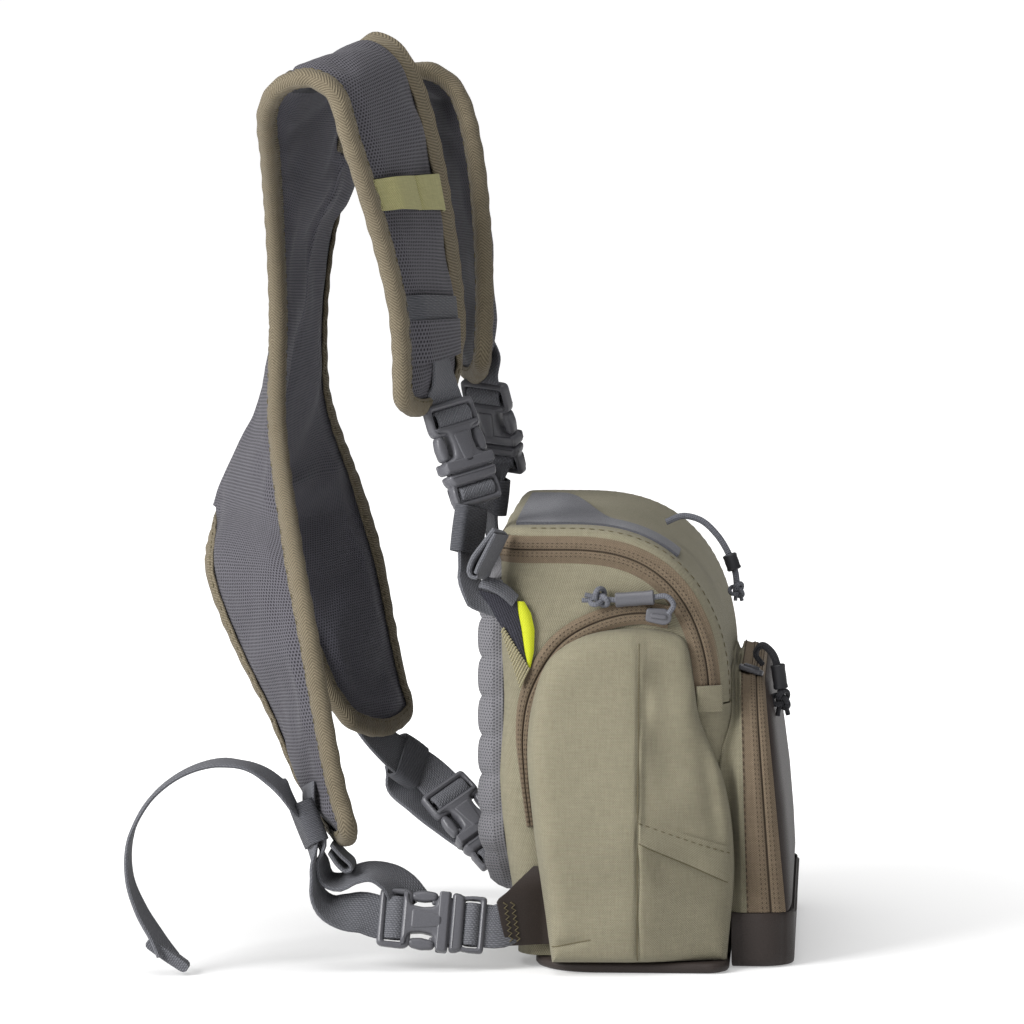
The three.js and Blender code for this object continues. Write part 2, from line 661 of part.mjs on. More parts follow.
// Yoke, near half, in its own frame: a row for each section, with the lines of the binding
// on the outer (lateral) and inner (medial) edge. In the rows marked spine the two halves meet.
const SECTIONS = [
  { at: 'front end', lateral: [27, -98, 209], medial: [40, -42, 215] },
  { at: 'chest', lateral: [26, -102, 241], medial: [40, -43, 238] },
  { at: 'upper chest', lateral: [19, -106, 277], medial: [36, -47, 275] },
  { at: 'front of shoulder', lateral: [10, -110, 304], medial: [28, -50, 309] },
  { at: 'rise to crown', lateral: [3, -110, 319], medial: [18, -51, 329] },
  { at: 'crown', lateral: [-8, -107, 324], medial: [7, -46, 335] },
  { at: 'back of shoulder', lateral: [-20, -100, 320], medial: [-5, -28, 323] },
  { at: 'side of nape', lateral: [-26, -89, 310], medial: [-11, -12, 306] },
  { at: 'nape', lateral: [-27, -77, 297], medial: [-15, -0.4, 290] },
  { at: 'below nape', lateral: [-28, -66, 286], medial: [-18, 0, 280], spine: true },
  { at: 'blades', lateral: [-29, -53, 268], medial: [-25, 0, 266], spine: true },
  { at: 'waist', lateral: [-29, -45, 234], medial: [-32, 0, 232], spine: true },
  { at: 'flare', lateral: [-28, -54, 199], medial: [-42, 0, 194], spine: true },
  { at: 'above fork', lateral: [-23, -70, 175], medial: [-53, 0, 172], spine: true },
  { at: 'fork', lateral: [-20, -78, 164], medial: [-56.5, -0.4, 163] },
  { at: 'top of leg', lateral: [-15, -90, 145], medial: [-54, -40, 141] },
  { at: 'leg', lateral: [-9, -99, 121], medial: [-41, -55, 114] },
  { at: 'low leg', lateral: [-4, -103, 96], medial: [-28, -59, 90] },
  { at: 'end of leg', lateral: [1, -106, 72], medial: [-18, -60, 67] },
  { at: 'tip', lateral: [6, -107, 54], medial: [-10, -64, 55] },
];
const napeIndex = SECTIONS.findIndex(({ at }) => at === 'nape');
const forkIndex = SECTIONS.findIndex(({ at }) => at === 'fork');
const sectionSpan = SECTIONS.length - 1;
const lateralLine = new THREE.CatmullRomCurve3(SECTIONS.map(({ lateral }) => point(...lateral)));
const medialLine = new THREE.CatmullRomCurve3(SECTIONS.map(({ medial }) => point(...medial)));

// The far half hangs a little shorter than the near one, and its crown leans forwards
function draped(p) {
  const share = ease(0, DRAPE.reach, p.y);
  const level = (p.z - DRAPE.tipZ) / (DRAPE.crownZ - DRAPE.tipZ);
  const x = p.x + share * mix(DRAPE.tip.x, DRAPE.crown.x, level);
  return point(x, p.y, p.z + share * mix(DRAPE.tip.z, DRAPE.crown.z, level));
}

function onSide(p, side) {
  return draped(point(p.x, -side * p.y, p.z));
}

function spineShare(section) {
  const before = SECTIONS[Math.floor(section)];
  const after = SECTIONS[Math.min(Math.floor(section) + 1, sectionSpan)];
  return mix(before.spine ? 1 : 0, after.spine ? 1 : 0, section % 1);
}

// Room for the binding along a section, wider where the edge runs aslant to it
function bindingRoom(line, section, direction) {
  const tangent = line.getTangent(section / sectionSpan);
  const slant = Math.max(0.36, Math.sqrt(1 - tangent.dot(direction) ** 2));
  return (YOKE.binding + SEAM) / slant;
}

// Point on the middle surface of a yoke half: section number, share of the way to the
// medial edge, and side (-1 near, 1 far)
function yokePoint(section, across, side) {
  const lateral = lateralLine.getPoint(section / sectionSpan);
  const medial = medialLine.getPoint(section / sectionSpan);
  const width = lateral.distanceTo(medial);
  const direction = medial.clone().sub(lateral).normalize();
  const lateralRoom = bindingRoom(lateralLine, section, direction);
  const medialRoom = mix(bindingRoom(medialLine, section, direction), -GAP, spineShare(section));
  const share = mix(lateralRoom / width, 1 - medialRoom / width, across);
  return onSide(lateral.lerp(medial, share), side);
}

function yokeGrid(sections, shares, side) {
  return sections.map((section) => shares.map((across) => yokePoint(section, across, side)));
}

const yoke = new THREE.Group();
yoke.position.x = YOKE.at;
yoke.rotation.z = THREE.MathUtils.degToRad(YOKE.yaw);
pack.add(yoke);
const torso = point(45, 0, 200);

function stepsBetween(from, to, count) {
  return Array.from({ length: count + 1 }, (_, k) => mix(from, to, k / count));
}

// Point that stands off the outer face of the yoke, in the bag's frame
function offYoke(section, across, side, stand) {
  const step = 0.05;
  const sections = [section - step, section, section + step];
  const grid = yokeGrid(sections, [across - step, across, across + step], side);
  const normal = gridNormals(grid, torso, false)[1][1];
  yoke.updateMatrix();
  return grid[1][1].clone().addScaledVector(normal, stand).applyMatrix4(yoke.matrix);
}

function makeYoke() {
  const sections = stepsBetween(0.16, sectionSpan - 0.3, sectionSpan * 2);
  const shares = [0, 0.15, 0.5, 0.85, 1];
  const halves = [-1, 1].map((side) => {
    const grid = yokeGrid(sections, shares, side);
    const thickness = (i, j) => {
      if (j === 0) return YOKE.edge;
      const medialThickness = mix(YOKE.edge, YOKE.middle, spineShare(Math.min(sections[i], sectionSpan)));
      return j === shares.length - 1 ? medialThickness : YOKE.middle;
    };
    return toManifold(slabAround(grid, thickness, { inside: torso }));
  });
  add('yoke_pad', fromManifold(halves[0].add(halves[1])), 'mesh', yoke);
}

// Binding of one half: from the fork down the leg, round its tip, up the lateral edge, round
// the front end and back up to the nape
function makeBinding(side, label) {
  const numbers = (from, to) => stepsBetween(from, to, Math.abs(to - from) * 2);
  const endBulge = (section, beyond) => {
    const inner = section === 0 ? 1 : -1;
    const end = lateralLine.getPoint(section / sectionSpan).lerp(medialLine.getPoint(section / sectionSpan), 0.5);
    const next = (section + inner) / sectionSpan;
    const before = lateralLine.getPoint(next).lerp(medialLine.getPoint(next), 0.5);
    return end.clone().addScaledVector(end.clone().sub(before).normalize(), beyond);
  };
  const beyond = 7;
  const meeting = (section, rise) => {
    const end = medialLine.getPoint(section / sectionSpan);
    return [point(end.x, -turnIn, end.z + rise), point(end.x, -GAP, end.z + rise)];
  };
  const turnIn = 5;
  const clear = 7;
  const route = [
    ...meeting(forkIndex, -clear).reverse(),
    ...numbers(forkIndex + 1, sectionSpan).map((n) => medialLine.getPoint(n / sectionSpan)),
    endBulge(sectionSpan, beyond),
    ...numbers(sectionSpan, 0).map((n) => lateralLine.getPoint(n / sectionSpan)),
    endBulge(0, beyond),
    ...numbers(0, napeIndex - 1).map((n) => medialLine.getPoint(n / sectionSpan)),
    ...meeting(napeIndex, clear),
  ];
  const curve = new THREE.CatmullRomCurve3(route.map((p) => onSide(p, side)));
  const section = new THREE.Shape();
  section.absarc(0, 0, YOKE.binding, 0, Math.PI * 2);
  const tube = new THREE.ExtrudeGeometry(section, { steps: 80, curveSegments: 3, extrudePath: curve });
  add(`yoke_binding_${label}`, tube, 'binding', yoke);
}

// Bands across the front of the near shoulder pad
function makeShoulderBands() {
  const stand = YOKE.middle / 2 + 0.9;
  const bandAt = (section, height, bulges) => {
    const shares = stepsBetween(0.02, 0.98, 8);
    const length = height / 34;
    return [section - length / 2, section + length / 2].map((row) => {
      const grid = yokeGrid([row - 0.05, row, row + 0.05], shares, -1);
      const normals = gridNormals(grid, torso, false);
      return grid[1].map((p, j) => {
        const wave = Math.abs(Math.sin(Math.PI * bulges.count * (j / 8)));
        return p.clone().addScaledVector(normals[1][j], stand + bulges.height * wave);
      });
    });
  };
  const loops = bandAt(2.0, 13, { count: 2, height: 2.4 });
  add('shoulder_loops', slabAround(loops, 1, { inside: torso }), 'leaf', yoke);
  const elastic = bandAt(1.06, 9, { count: 1, height: 0.6 });
  add('shoulder_elastic', slabAround(elastic, 1, { inside: torso }), 'webbing', yoke);
}

// Strap of even width along a route. Each row gives a place and the direction of the width.
function strapGrid(route, width, steps) {
  const places = new THREE.CatmullRomCurve3(route.map(({ at }) => point(...at)));
  const leans = new THREE.CatmullRomCurve3(route.map(({ lean }) => point(...lean)));
  return stepsBetween(0, 1, steps).map((share) => {
    const middle = places.getPoint(share);
    const tangent = places.getTangent(share);
    const across = leans.getPoint(share);
    across.addScaledVector(tangent, -across.dot(tangent)).normalize();
    return [-0.5, 0.5].map((part) => middle.clone().addScaledVector(across, part * width));
  });
}

function makeStrap(name, route, steps, finish = 'webbing') {
  const grid = strapGrid(route, WEB.width, steps);
  add(name, slabAround(grid, WEB.thickness), finish);
}

// Side-release buckle, drawn flat: a socket with a webbing slot and two side windows, and a
// plug whose two arms pass through the mouth and show in the windows
function polygonSolid(points, thickness, hole) {
  const shape = new THREE.Shape(points.map(([x, y]) => new THREE.Vector2(x, y)));
  if (hole) {
    shape.holes.push(new THREE.Path(hole.map(([x, y]) => new THREE.Vector2(x, y))));
  }
  const solid = new THREE.ExtrudeGeometry(shape, { depth: thickness, bevelEnabled: false });
  solid.translate(0, 0, -thickness / 2);
  return solid;
}

function boxOutline(fromX, toX, fromY, toY) {
  return [[fromX, fromY], [toX, fromY], [toX, toY], [fromX, toY]];
}

function bothSides(rightSide) {
  return [...rightSide, ...rightSide.slice().reverse().map(([x, y]) => [-x, y])];
}

const MOUTH = 26;
const ARM = { from: 5.4, to: 9.2, thickness: 2.8, head: 11.3 };

function buckleSocket() {
  const right = [[10.5, 0], [11, 8], [9.5, 10.5], [5.2, 12], [5.2, 19.5], [11.5, 21], [11, MOUTH]];
  const slot = boxOutline(-BUCKLE.slotHalf, BUCKLE.slotHalf, 2.2, 5.4);
  let solid = toManifold(polygonSolid(bothSides(right), BUCKLE.thickness, slot));
  for (const side of [-1, 1]) {
    const channel = boxOutline(ARM.from - GAP, ARM.to + GAP, 18, MOUTH + 1).map(([x, y]) => [side * x, y]);
    solid = solid.subtract(toManifold(polygonSolid(channel, ARM.thickness + 2 * GAP)));
  }
  return fromManifold(solid);
}

function bucklePlug() {
  const right = [[11, MOUTH + GAP], [11, 29], [9.8, 31.5], [10.5, BUCKLE.length]];
  const slot = boxOutline(-BUCKLE.slotHalf, BUCKLE.slotHalf, 33.6, 36.8);
  let solid = toManifold(polygonSolid(bothSides(right), BUCKLE.thickness, slot));
  for (const side of [-1, 1]) {
    const arm = boxOutline(ARM.from, ARM.to, 17, MOUTH + 1).map(([x, y]) => [side * x, y]);
    const head = [[5.7, 12.8], [9.6, 12.4], [ARM.head, 14.8], [10.6, 18.7], [5.7, 18.7]];
    solid = solid.add(toManifold(polygonSolid(arm, ARM.thickness)));
    solid = solid.add(toManifold(polygonSolid(head.map(([x, y]) => [side * x, y]), 5.2)));
  }
  return fromManifold(solid);
}

const socketShape = buckleSocket();
const plugShape = bucklePlug();

// A fastened buckle from its socket end to its plug end
function makeBuckle(label, socketEnd, plugEnd, lean) {
  const along = point(...plugEnd).sub(point(...socketEnd)).normalize();
  const across = point(...lean);
  across.addScaledVector(along, -across.dot(along)).normalize();
  const facing = new THREE.Vector3().crossVectors(across, along);
  const middle = point(...socketEnd).add(point(...plugEnd)).multiplyScalar(0.5);
  const frame = new THREE.Group();
  const turn = new THREE.Matrix4().makeBasis(across, along, facing);
  frame.quaternion.setFromRotationMatrix(turn);
  frame.position.copy(middle.addScaledVector(along, -BUCKLE.length / 2));
  pack.add(frame);
  add(`buckle_socket_${label}`, socketShape.clone(), 'plastic', frame);
  add(`buckle_plug_${label}`, plugShape.clone(), 'plastic', frame);
}

// Elastic keeper: a flat sleeve round two plies of webbing
function makeKeeper(label, middle, along, lean, length) {
  const wall = 1;
  const halfWide = WEB.width / 2 + 0.6;
  const halfThick = 3.1;
  const outline = boxOutline(-halfWide - wall, halfWide + wall, -halfThick - wall, halfThick + wall);
  const hole = boxOutline(-halfWide, halfWide, -halfThick, halfThick);
  const sleeve = polygonSolid(outline, length, hole);
  const axis = point(...along).normalize();
  const across = point(...lean);
  across.addScaledVector(axis, -across.dot(axis)).normalize();
  const facing = new THREE.Vector3().crossVectors(axis, across);
  const frame = new THREE.Group();
  frame.quaternion.setFromRotationMatrix(new THREE.Matrix4().makeBasis(across, facing, axis));
  frame.position.set(...middle);
  pack.add(frame);
  add(`keeper_${label}`, sleeve, 'webbing', frame);
}

// Corner tab at the foot of the back, which takes the lower strap
const TAB = [
  { z: 8, back: -47, front: -33 }, { z: 22, back: -43, front: -33 }, { z: 37, back: -37, front: -33.4 },
];

// Bright lining that shows in the slit behind the side pocket
const LINING = [
  { z: 112, x: -36.8, half: 0.5 }, { z: 118, x: -36.6, half: 2 }, { z: 125, x: -37.2, half: 1.9 },
  { z: 133, x: -38.6, half: 0.5 },
];

const TAB_PLY = { thickness: 1.2, stand: 1.5 };
const LINING_PLY = { thickness: 0.8, stand: 0.9 };

function makeSideTrim(side, label) {
  const tabY = side * (BAG.halfWidth + TAB_PLY.stand);
  const tab = TAB.map(({ z, back, front }) => [point(back, tabY, z), point(front, tabY, z)]);
  add(`corner_tab_${label}`, slabAround(tab, TAB_PLY.thickness), 'moulded');
  const liningY = side * (BAG.halfWidth + LINING_PLY.stand);
  const lining = LINING.map(({ z, x, half }) => [point(x - half, liningY, z), point(x + half, liningY, z)]);
  add(`slit_lining_${label}`, slabAround(lining, LINING_PLY.thickness), 'lime');
}

// Cord along a route, with a section of eight sides
function makeCord(name, route, diameter) {
  const section = new THREE.Shape();
  section.absarc(0, 0, diameter / 2, 0, Math.PI * 2);
  const extrudePath = new THREE.CatmullRomCurve3(route.map((at) => point(...at)));
  const tube = new THREE.ExtrudeGeometry(section, { steps: 9, curveSegments: 4, extrudePath });
  add(name, tube, 'webbing');
}

// Barrel on a cord: a short tube with a bore that clears it
function makeBarrel(name, middle, along, length, finish) {
  const { gripRadius: radius, bore } = PULL;
  const half = length / 2;
  const outline = [[bore, -half], [radius, -half], [radius, half], [bore, half], [bore, -half]];
  const barrel = new THREE.LatheGeometry(outline.map(([r, h]) => new THREE.Vector2(r, h)), 10);
  const mesh = add(name, barrel, finish);
  mesh.position.set(...middle);
  mesh.quaternion.setFromUnitVectors(point(0, 1, 0), point(...along).normalize());
}

function makeSlider(name, middle, turn) {
  const outline = [[-4, -2.4], [3, -3], [5, -1.4], [5, 1.4], [3, 3], [-4, 2.4]];
  const mesh = add(name, polygonSolid(outline, 2.2), 'plastic');
  mesh.position.set(...middle);
  mesh.rotation.set(...turn);
}

const SIDE_PULL = [
  [15.6, 89, 129.6], [17.4, 88.6, 133.4], [14.5, 88.2, 137], [8, 87.9, 138.2], [0, 87.8, 138],
  [-8, 87.8, 137.6], [-15, 87.8, 137.8], [-20, 87.6, 139],
];
const FRONT_PULL = [
  [46.4, -45, 116.2], [43.2, -46, 119.6], [46, -47, 122.5], [51, -47, 119], [54, -47, 111],
  [54.6, -47, 103], [54, -47, 96],
];
const LID_LOOP = [
  [10, -28, 158.3], [16, -28.5, 160.6], [23, -29, 159], [29, -29, 153.5], [33, -28.5, 147],
  [35.6, -28, 140], [36.4, -27.5, 133],
];

function makePulls() {
  for (const [side, label] of [[-1, 'near'], [1, 'far']]) {
    const route = SIDE_PULL.map(([x, y, z]) => [x, side * y, z]);
    makeCord(`side_pull_${label}`, route, PULL.diameter);
    makeBarrel(`side_grip_${label}`, [0, side * 87.8, 138], [1, 0, 0.03], 12, 'plastic');
    makeSlider(`side_slider_${label}`, [8.5, side * 87.8, 129.4], [Math.PI / 2, 0, -0.12]);
  }
  makeCord('front_pull', FRONT_PULL, PULL.diameter);
  makeBarrel('front_grip', [54.4, -47, 105.5], [0.04, 0, -1], 9, 'plastic');
  makeSlider('front_slider', [41.5, -45, 114.4], [0, 0.3, 0]);
  makeCord('lid_loop', LID_LOOP, 2.4);
  makeBarrel('loop_toggle', [34.4, -28.2, 143.5], [0.35, 0, -1], 6, 'plastic');
}

// Straps and buckles, a row for each bend: the place and the direction of the width
const UPPER_LEAN = [0.66, 0.72, 0.2];
const UPPER_FAR_LEAN = [-0.66, 0.72, -0.2];
const strapStand = YOKE.middle / 2 + WEB.thickness;

// Strap that leaves the front end of a shoulder pad, with the buckle that hangs on it
function makeShoulderStrap(label, side, plugEnd, lean) {
  const start = offYoke(0.6, 0.5, side, strapStand);
  const brink = offYoke(0.22, 0.5, side, strapStand + SEAM);
  const down = brink.clone().sub(start).normalize();
  const outwards = brink.clone().sub(offYoke(0.22, 0.5, side, 0)).normalize();
  const end = brink.clone().addScaledVector(down, 12).addScaledVector(outwards, BUCKLE.thickness / 2 + 2 * SEAM);
  const across = offYoke(0.3, 0.8, side, 0).sub(offYoke(0.3, 0.2, side, 0)).normalize();
  makeStrap(`strap_upper_${label}`, [
    { at: start, lean: across },
    { at: brink, lean: across },
    { at: end, lean: across.clone().lerp(point(...lean), 0.6) },
  ], 4);
  const socketEnd = end.clone().addScaledVector(point(...plugEnd).sub(end).normalize(), 1.6);
  makeBuckle(`upper_${label}`, [...socketEnd], plugEnd, lean);
}

function makeUpperStraps() {
  makeShoulderStrap('near', -1, [-60.4, -76.5, 163.2], UPPER_LEAN);
  makeShoulderStrap('far', 1, [-58.6, 78.5, 163], UPPER_FAR_LEAN);
  makeStrap('anchor_upper_near', [
    { at: [-60.2, -76.7, 161.4], lean: UPPER_LEAN },
    { at: [-61, -77.4, 151], lean: [0.7, 0.7, 0.1] },
    { at: [-61.6, -80, 143], lean: [0.8, 0.5, 0.2] },
    { at: [-59.5, -84, 134], lean: [0.85, 0.3, 0.4] },
    { at: [-53.6, -86.2, 125], lean: [0.85, 0, 0.5] },
    { at: [-45.8, -84.9, 110], lean: [0.88, 0, 0.47] },
  ], 10);
  makeStrap('anchor_upper_far', [
    { at: [-58.5, 78.7, 161.2], lean: UPPER_FAR_LEAN },
    { at: [-60.4, 79.4, 151], lean: [-0.7, 0.7, -0.1] },
    { at: [-61, 82, 143], lean: [-0.8, 0.5, -0.2] },
    { at: [-59, 85, 134], lean: [-0.85, 0.3, -0.4] },
    { at: [-53.4, 86.2, 125], lean: [-0.85, 0, -0.5] },
    { at: [-45.8, 84.9, 110], lean: [-0.88, 0, -0.47] },
  ], 10);
  const foldSide = -92.2;
  const foldRoute = [
    [-58.6, 137.4], [-56.2, 142], [-52.6, 151.5], [-52, 156.4], [-54.6, 156.2], [-57.4, 149.6], [-60, 144],
  ];
  makeStrap('fold_upper_near', foldRoute.map(([x, z]) => ({ at: [x, foldSide, z], lean: [0, 1, 0] })), 11);
  makeKeeper('upper_near', [-60.7, -77, 154.6], [-0.08, -0.06, -1], UPPER_LEAN, 11);
  makeKeeper('upper_far', [-59.6, 79.1, 154.4], [-0.18, 0.06, -1], UPPER_FAR_LEAN, 11);
}

function makeLowerStraps() {
  makeBuckle('lower_near', [-92.4, -94, 19.6], [-54, -92, 16.2], [0, 0.3, 0.95]);
  makeStrap('stub_lower_near', [
    { at: [-52.4, -92, 16.1], lean: [0, 0.3, 0.95] },
    { at: [-49.4, -91.8, 15.9], lean: [0, 0.3, 0.95] },
    { at: [-45, -90, 17.4], lean: [0, 0.2, 0.98] },
    { at: [-39, -87.8, 19.4], lean: [-0.1, 0, 1] },
  ], 4);
  const legAcross = [...offYoke(18.4, 0.8, -1, 0).sub(offYoke(18.4, 0.2, -1, 0)).normalize()];
  const keeperMiddle = offYoke(18.9, 0.5, -1, 9.8);
  const legDown = keeperMiddle.clone().sub(offYoke(18.3, 0.5, -1, 9.8)).normalize();
  makeStrap('strap_lower_near', [
    { at: offYoke(17.5, 0.5, -1, strapStand), lean: legAcross },
    { at: offYoke(18.2, 0.5, -1, strapStand + 1.6), lean: legAcross },
    { at: offYoke(18.9, 0.5, -1, 8.2), lean: legAcross },
    { at: offYoke(18.9, 0.5, -1, 8.2).addScaledVector(legDown, 9), lean: legAcross },
    { at: [-109, -90, 37.5], lean: [0.3, 0.85, 0.4] },
    { at: [-102, -92.6, 36], lean: [0.1, 0.75, 0.65] },
    { at: [-95.8, -94, 31], lean: [0, 0.6, 0.8] },
  ], 14);
  makeStrap('tail_lower_near', [
    { at: [-94.4, -95, 18.6], lean: [0, 0.4, 0.9] },
    { at: [-103, -95.6, 18], lean: [0.1, 0.6, 0.8] },
    { at: [-113, -94.6, 22], lean: [0.3, 0.75, 0.6] },
    { at: [-118.4, -92, 33], lean: [0.4, 0.9, 0.2] },
    { at: offYoke(18.9, 0.5, -1, 11.4).addScaledVector(legDown, 9), lean: legAcross },
    { at: offYoke(18.9, 0.5, -1, 11.4), lean: legAcross },
    { at: offYoke(18.9, 0.5, -1, 11.6).addScaledVector(legDown, -9), lean: legAcross },
    { at: [-128, -91, 71.5], lean: [0.2, 0.96, 0.15] },
    { at: [-139, -93.6, 75.4], lean: [0.1, 0.97, 0.2] },
    { at: [-153, -96, 75.8], lean: [0.05, 0.97, 0.22] },
    { at: [-170, -98, 67.5], lean: [0.15, 0.96, 0.15] },
    { at: [-181, -100, 52], lean: [0.28, 0.96, 0.05] },
    { at: [-184, -102, 36], lean: [0.32, 0.95, 0] },
    { at: [-179.5, -104, 18], lean: [0.4, 0.91, 0] },
    { at: [-171, -106, 7], lean: [0.42, 0.9, 0.05] },
    { at: [-161.5, -108, 2], lean: [0.42, 0.9, 0.05] },
  ], 36);
  makeKeeper('lower_near', [...keeperMiddle], [...legDown], legAcross, 12);
  makeStrap('strap_lower_far', [
    { at: offYoke(18.3, 0.5, 1, strapStand + GAP), lean: [0.2, 0.9, 0.3] },
    { at: offYoke(18.9, 0.5, 1, strapStand + 2), lean: [0.25, 0.85, 0.4] },
    { at: [-101, 95, 57], lean: [0.3, 0.7, 0.6] },
    { at: [-94, 102, 51.5], lean: [0.35, 0.6, 0.7] },
    { at: [-87.7, 106, 47.4], lean: [0.45, 0.6, 0.65] },
    { at: [-83.8, 104.1, 43.4], lean: [0.5, 0.55, 0.67] },
  ], 10);
  makeBuckle('lower_far', [-82.5, 103.5, 42], [-57, 91.5, 15.5], [0.5, 0.55, 0.67]);
  makeStrap('stub_lower_far', [
    { at: [-55.8, 90.9, 14.2], lean: [0.5, 0.55, 0.67] },
    { at: [-53.9, 90, 12.3], lean: [0.45, 0.5, 0.7] },
    { at: [-49.6, 88.6, 12], lean: [0.1, 0.1, 1] },
    { at: [-41, 87.6, 17], lean: [0, 0, 1] },
  ], 6);
  makeKeeper('lower_far', [-95.4, 102.2, 51.6], [0.64, 0.55, -0.54], [0.35, 0.6, 0.7], 10);
  makeStrap('tail_lower_far', [
    { at: [-99.9, 107.4, 50.4], lean: [0.35, 0.6, 0.7] },
    { at: [-99, 107.6, 43], lean: [0.3, 0.7, 0.6] },
    { at: [-91, 105, 34.5], lean: [0.2, 0.85, 0.4] },
    { at: [-80, 103.8, 26.5], lean: [0.25, 0.85, 0.4] },
    { at: [-69, 102.3, 19.5], lean: [0.25, 0.85, 0.4] },
    { at: [-57.5, 101.3, 14.5], lean: [0.25, 0.85, 0.4] },
  ], 10);
}

makeBody();
makeLid();
makeLidZip();
makePatch();
makeSidePocket(-1, 'near');
makeSidePocket(1, 'far');
makeSideTrim(-1, 'near');
makeSideTrim(1, 'far');
makeFrontPocket();
makeBase();
makeBackPad();
makeYoke();
makeBinding(-1, 'near');
makeBinding(1, 'far');
makeShoulderBands();
makeUpperStraps();
makeLowerStraps();
makePulls();

export default pack;
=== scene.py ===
import functools
import math

import bmesh
import bpy
import numpy as np
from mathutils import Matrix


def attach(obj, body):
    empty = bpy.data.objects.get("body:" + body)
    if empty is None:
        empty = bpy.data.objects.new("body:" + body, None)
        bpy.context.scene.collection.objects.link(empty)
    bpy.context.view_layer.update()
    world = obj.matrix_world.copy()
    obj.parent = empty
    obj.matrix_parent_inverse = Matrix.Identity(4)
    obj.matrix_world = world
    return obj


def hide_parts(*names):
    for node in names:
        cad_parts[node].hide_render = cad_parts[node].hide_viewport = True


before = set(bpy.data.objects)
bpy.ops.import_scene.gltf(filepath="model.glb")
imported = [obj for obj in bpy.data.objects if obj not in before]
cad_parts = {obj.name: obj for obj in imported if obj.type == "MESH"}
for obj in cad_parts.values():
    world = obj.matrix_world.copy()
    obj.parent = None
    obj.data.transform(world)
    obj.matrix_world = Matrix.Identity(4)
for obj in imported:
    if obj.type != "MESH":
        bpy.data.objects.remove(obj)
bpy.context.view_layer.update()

# Sizes of the pack, in millimetres
NAPE = np.array([-118.0, -1.5, 284.0])
GAP = 0.3
CLOTH = 1.6
SEAM = 0.8
BAG = {"back": -49.0, "front": 35.0, "half": 84.0, "top": 161.0, "radius": 12.0, "floor": 4.4}
LID = {"flange": 3.4, "radius": 4.5, "bend": -26.0, "end": 97.0, "crown": 1.0, "along": 2.6, "down": 2.2}
ZIP = {"width": 8.5, "arch": 7.4, "thick": 1.4}
BEND = LID["flange"] + ZIP["width"] + SEAM + GAP
BAG_MIDDLE = np.array([-7.0, 0.0, 80.5])
WEB = {"width": 16.0, "thick": 1.5}
YOKE = {"middle": 8.0, "edge": 3.3, "at": -101.0, "yaw": math.radians(-4)}
SIDES = (("near", -1), ("far", 1))
LIGHT_SHARE = 0.72
MILLIMETRE = 0.001
SCENE = bpy.context.scene
CLOTH_FRAMES = 20
CLOTH_PRESSURE = 4.0
HELD_SHARE = 0.3


# Small helpers
def shown(item):
    SCENE.collection.objects.link(item)
    return item


def mix(start, end, share):
    return start + (end - start) * share


def ease(low, high, value):
    share = np.clip((np.asarray(value, float) - low) / (high - low), 0, 1)
    return share * share * (3 - 2 * share)


def bump(offset, width):
    return np.exp(-((np.asarray(offset, float) / width) ** 2))


def unit(vectors):
    vectors = np.asarray(vectors, float)
    return vectors / np.maximum(np.linalg.norm(vectors, axis=-1, keepdims=True), 1e-9)


def square_to(vectors, axis):
    """Unit vectors without their part along an axis."""
    vectors = np.asarray(vectors, float)
    return unit(vectors - axis * np.sum(vectors * axis, axis=-1, keepdims=True))


def tangents(line):
    return unit(np.gradient(line, axis=0))


def run_of(line):
    steps = np.linalg.norm(np.diff(line, axis=0), axis=1)
    return np.concatenate([[0.0], np.cumsum(steps)])


def spline_at(points, shares):
    """Points of a centripetal curve through the given ones, at shares of their count."""
    given = np.asarray(points, float)
    held = np.vstack([2 * given[0] - given[1], given, 2 * given[-1] - given[-2]])
    last = len(given) - 1
    place = np.clip(np.asarray(shares, float), 0, 1) * last
    first = np.minimum(place.astype(int), last - 1)
    share = (place - first)[:, None]
    p0, p1, p2, p3 = (held[first + k] for k in range(4))
    reach = [np.linalg.norm(b - a, axis=1)[:, None] ** 0.5 for a, b in ((p0, p1), (p1, p2), (p2, p3))]
    d1 = np.where(reach[1] < 1e-4, 1.0, reach[1])
    d0 = np.where(reach[0] < 1e-4, d1, reach[0])
    d2 = np.where(reach[2] < 1e-4, d1, reach[2])
    start = ((p1 - p0) / d0 - (p2 - p0) / (d0 + d1) + (p2 - p1) / d1) * d1
    end = ((p2 - p1) / d1 - (p3 - p1) / (d1 + d2) + (p3 - p2) / d2) * d1
    square = -3 * p1 + 3 * p2 - 2 * start - end
    cube = 2 * p1 - 2 * p2 + start + end
    return p1 + start * share + square * share**2 + cube * share**3


def even_shares(points, step):
    """Shares of a curve's points that lie an even step apart along it."""
    fine = np.linspace(0, 1, 40 * len(points))
    run = run_of(spline_at(points, fine))
    count = max(2, int(round(run[-1] / step)))
    return np.interp(np.linspace(0, run[-1], count + 1), run, fine)


def even_line(points, step):
    return spline_at(points, even_shares(points, step))


def between(first, last, shares):
    """Rows of points or numbers from a first line to a last one."""
    return first[:, None] + (last - first)[:, None] * shares[None]


def unevenness(points, wave, seed):
    """Soft waves of slack cloth, about minus one to one."""
    draw = np.random.default_rng(seed)
    total = 0.0
    for _ in range(7):
        direction = unit(draw.normal(size=3))
        length = wave * draw.uniform(0.6, 1.7)
        total = total + np.sin(points @ direction * (2 * math.pi / length) + draw.uniform(0, 6.28))
    return total / 3.5


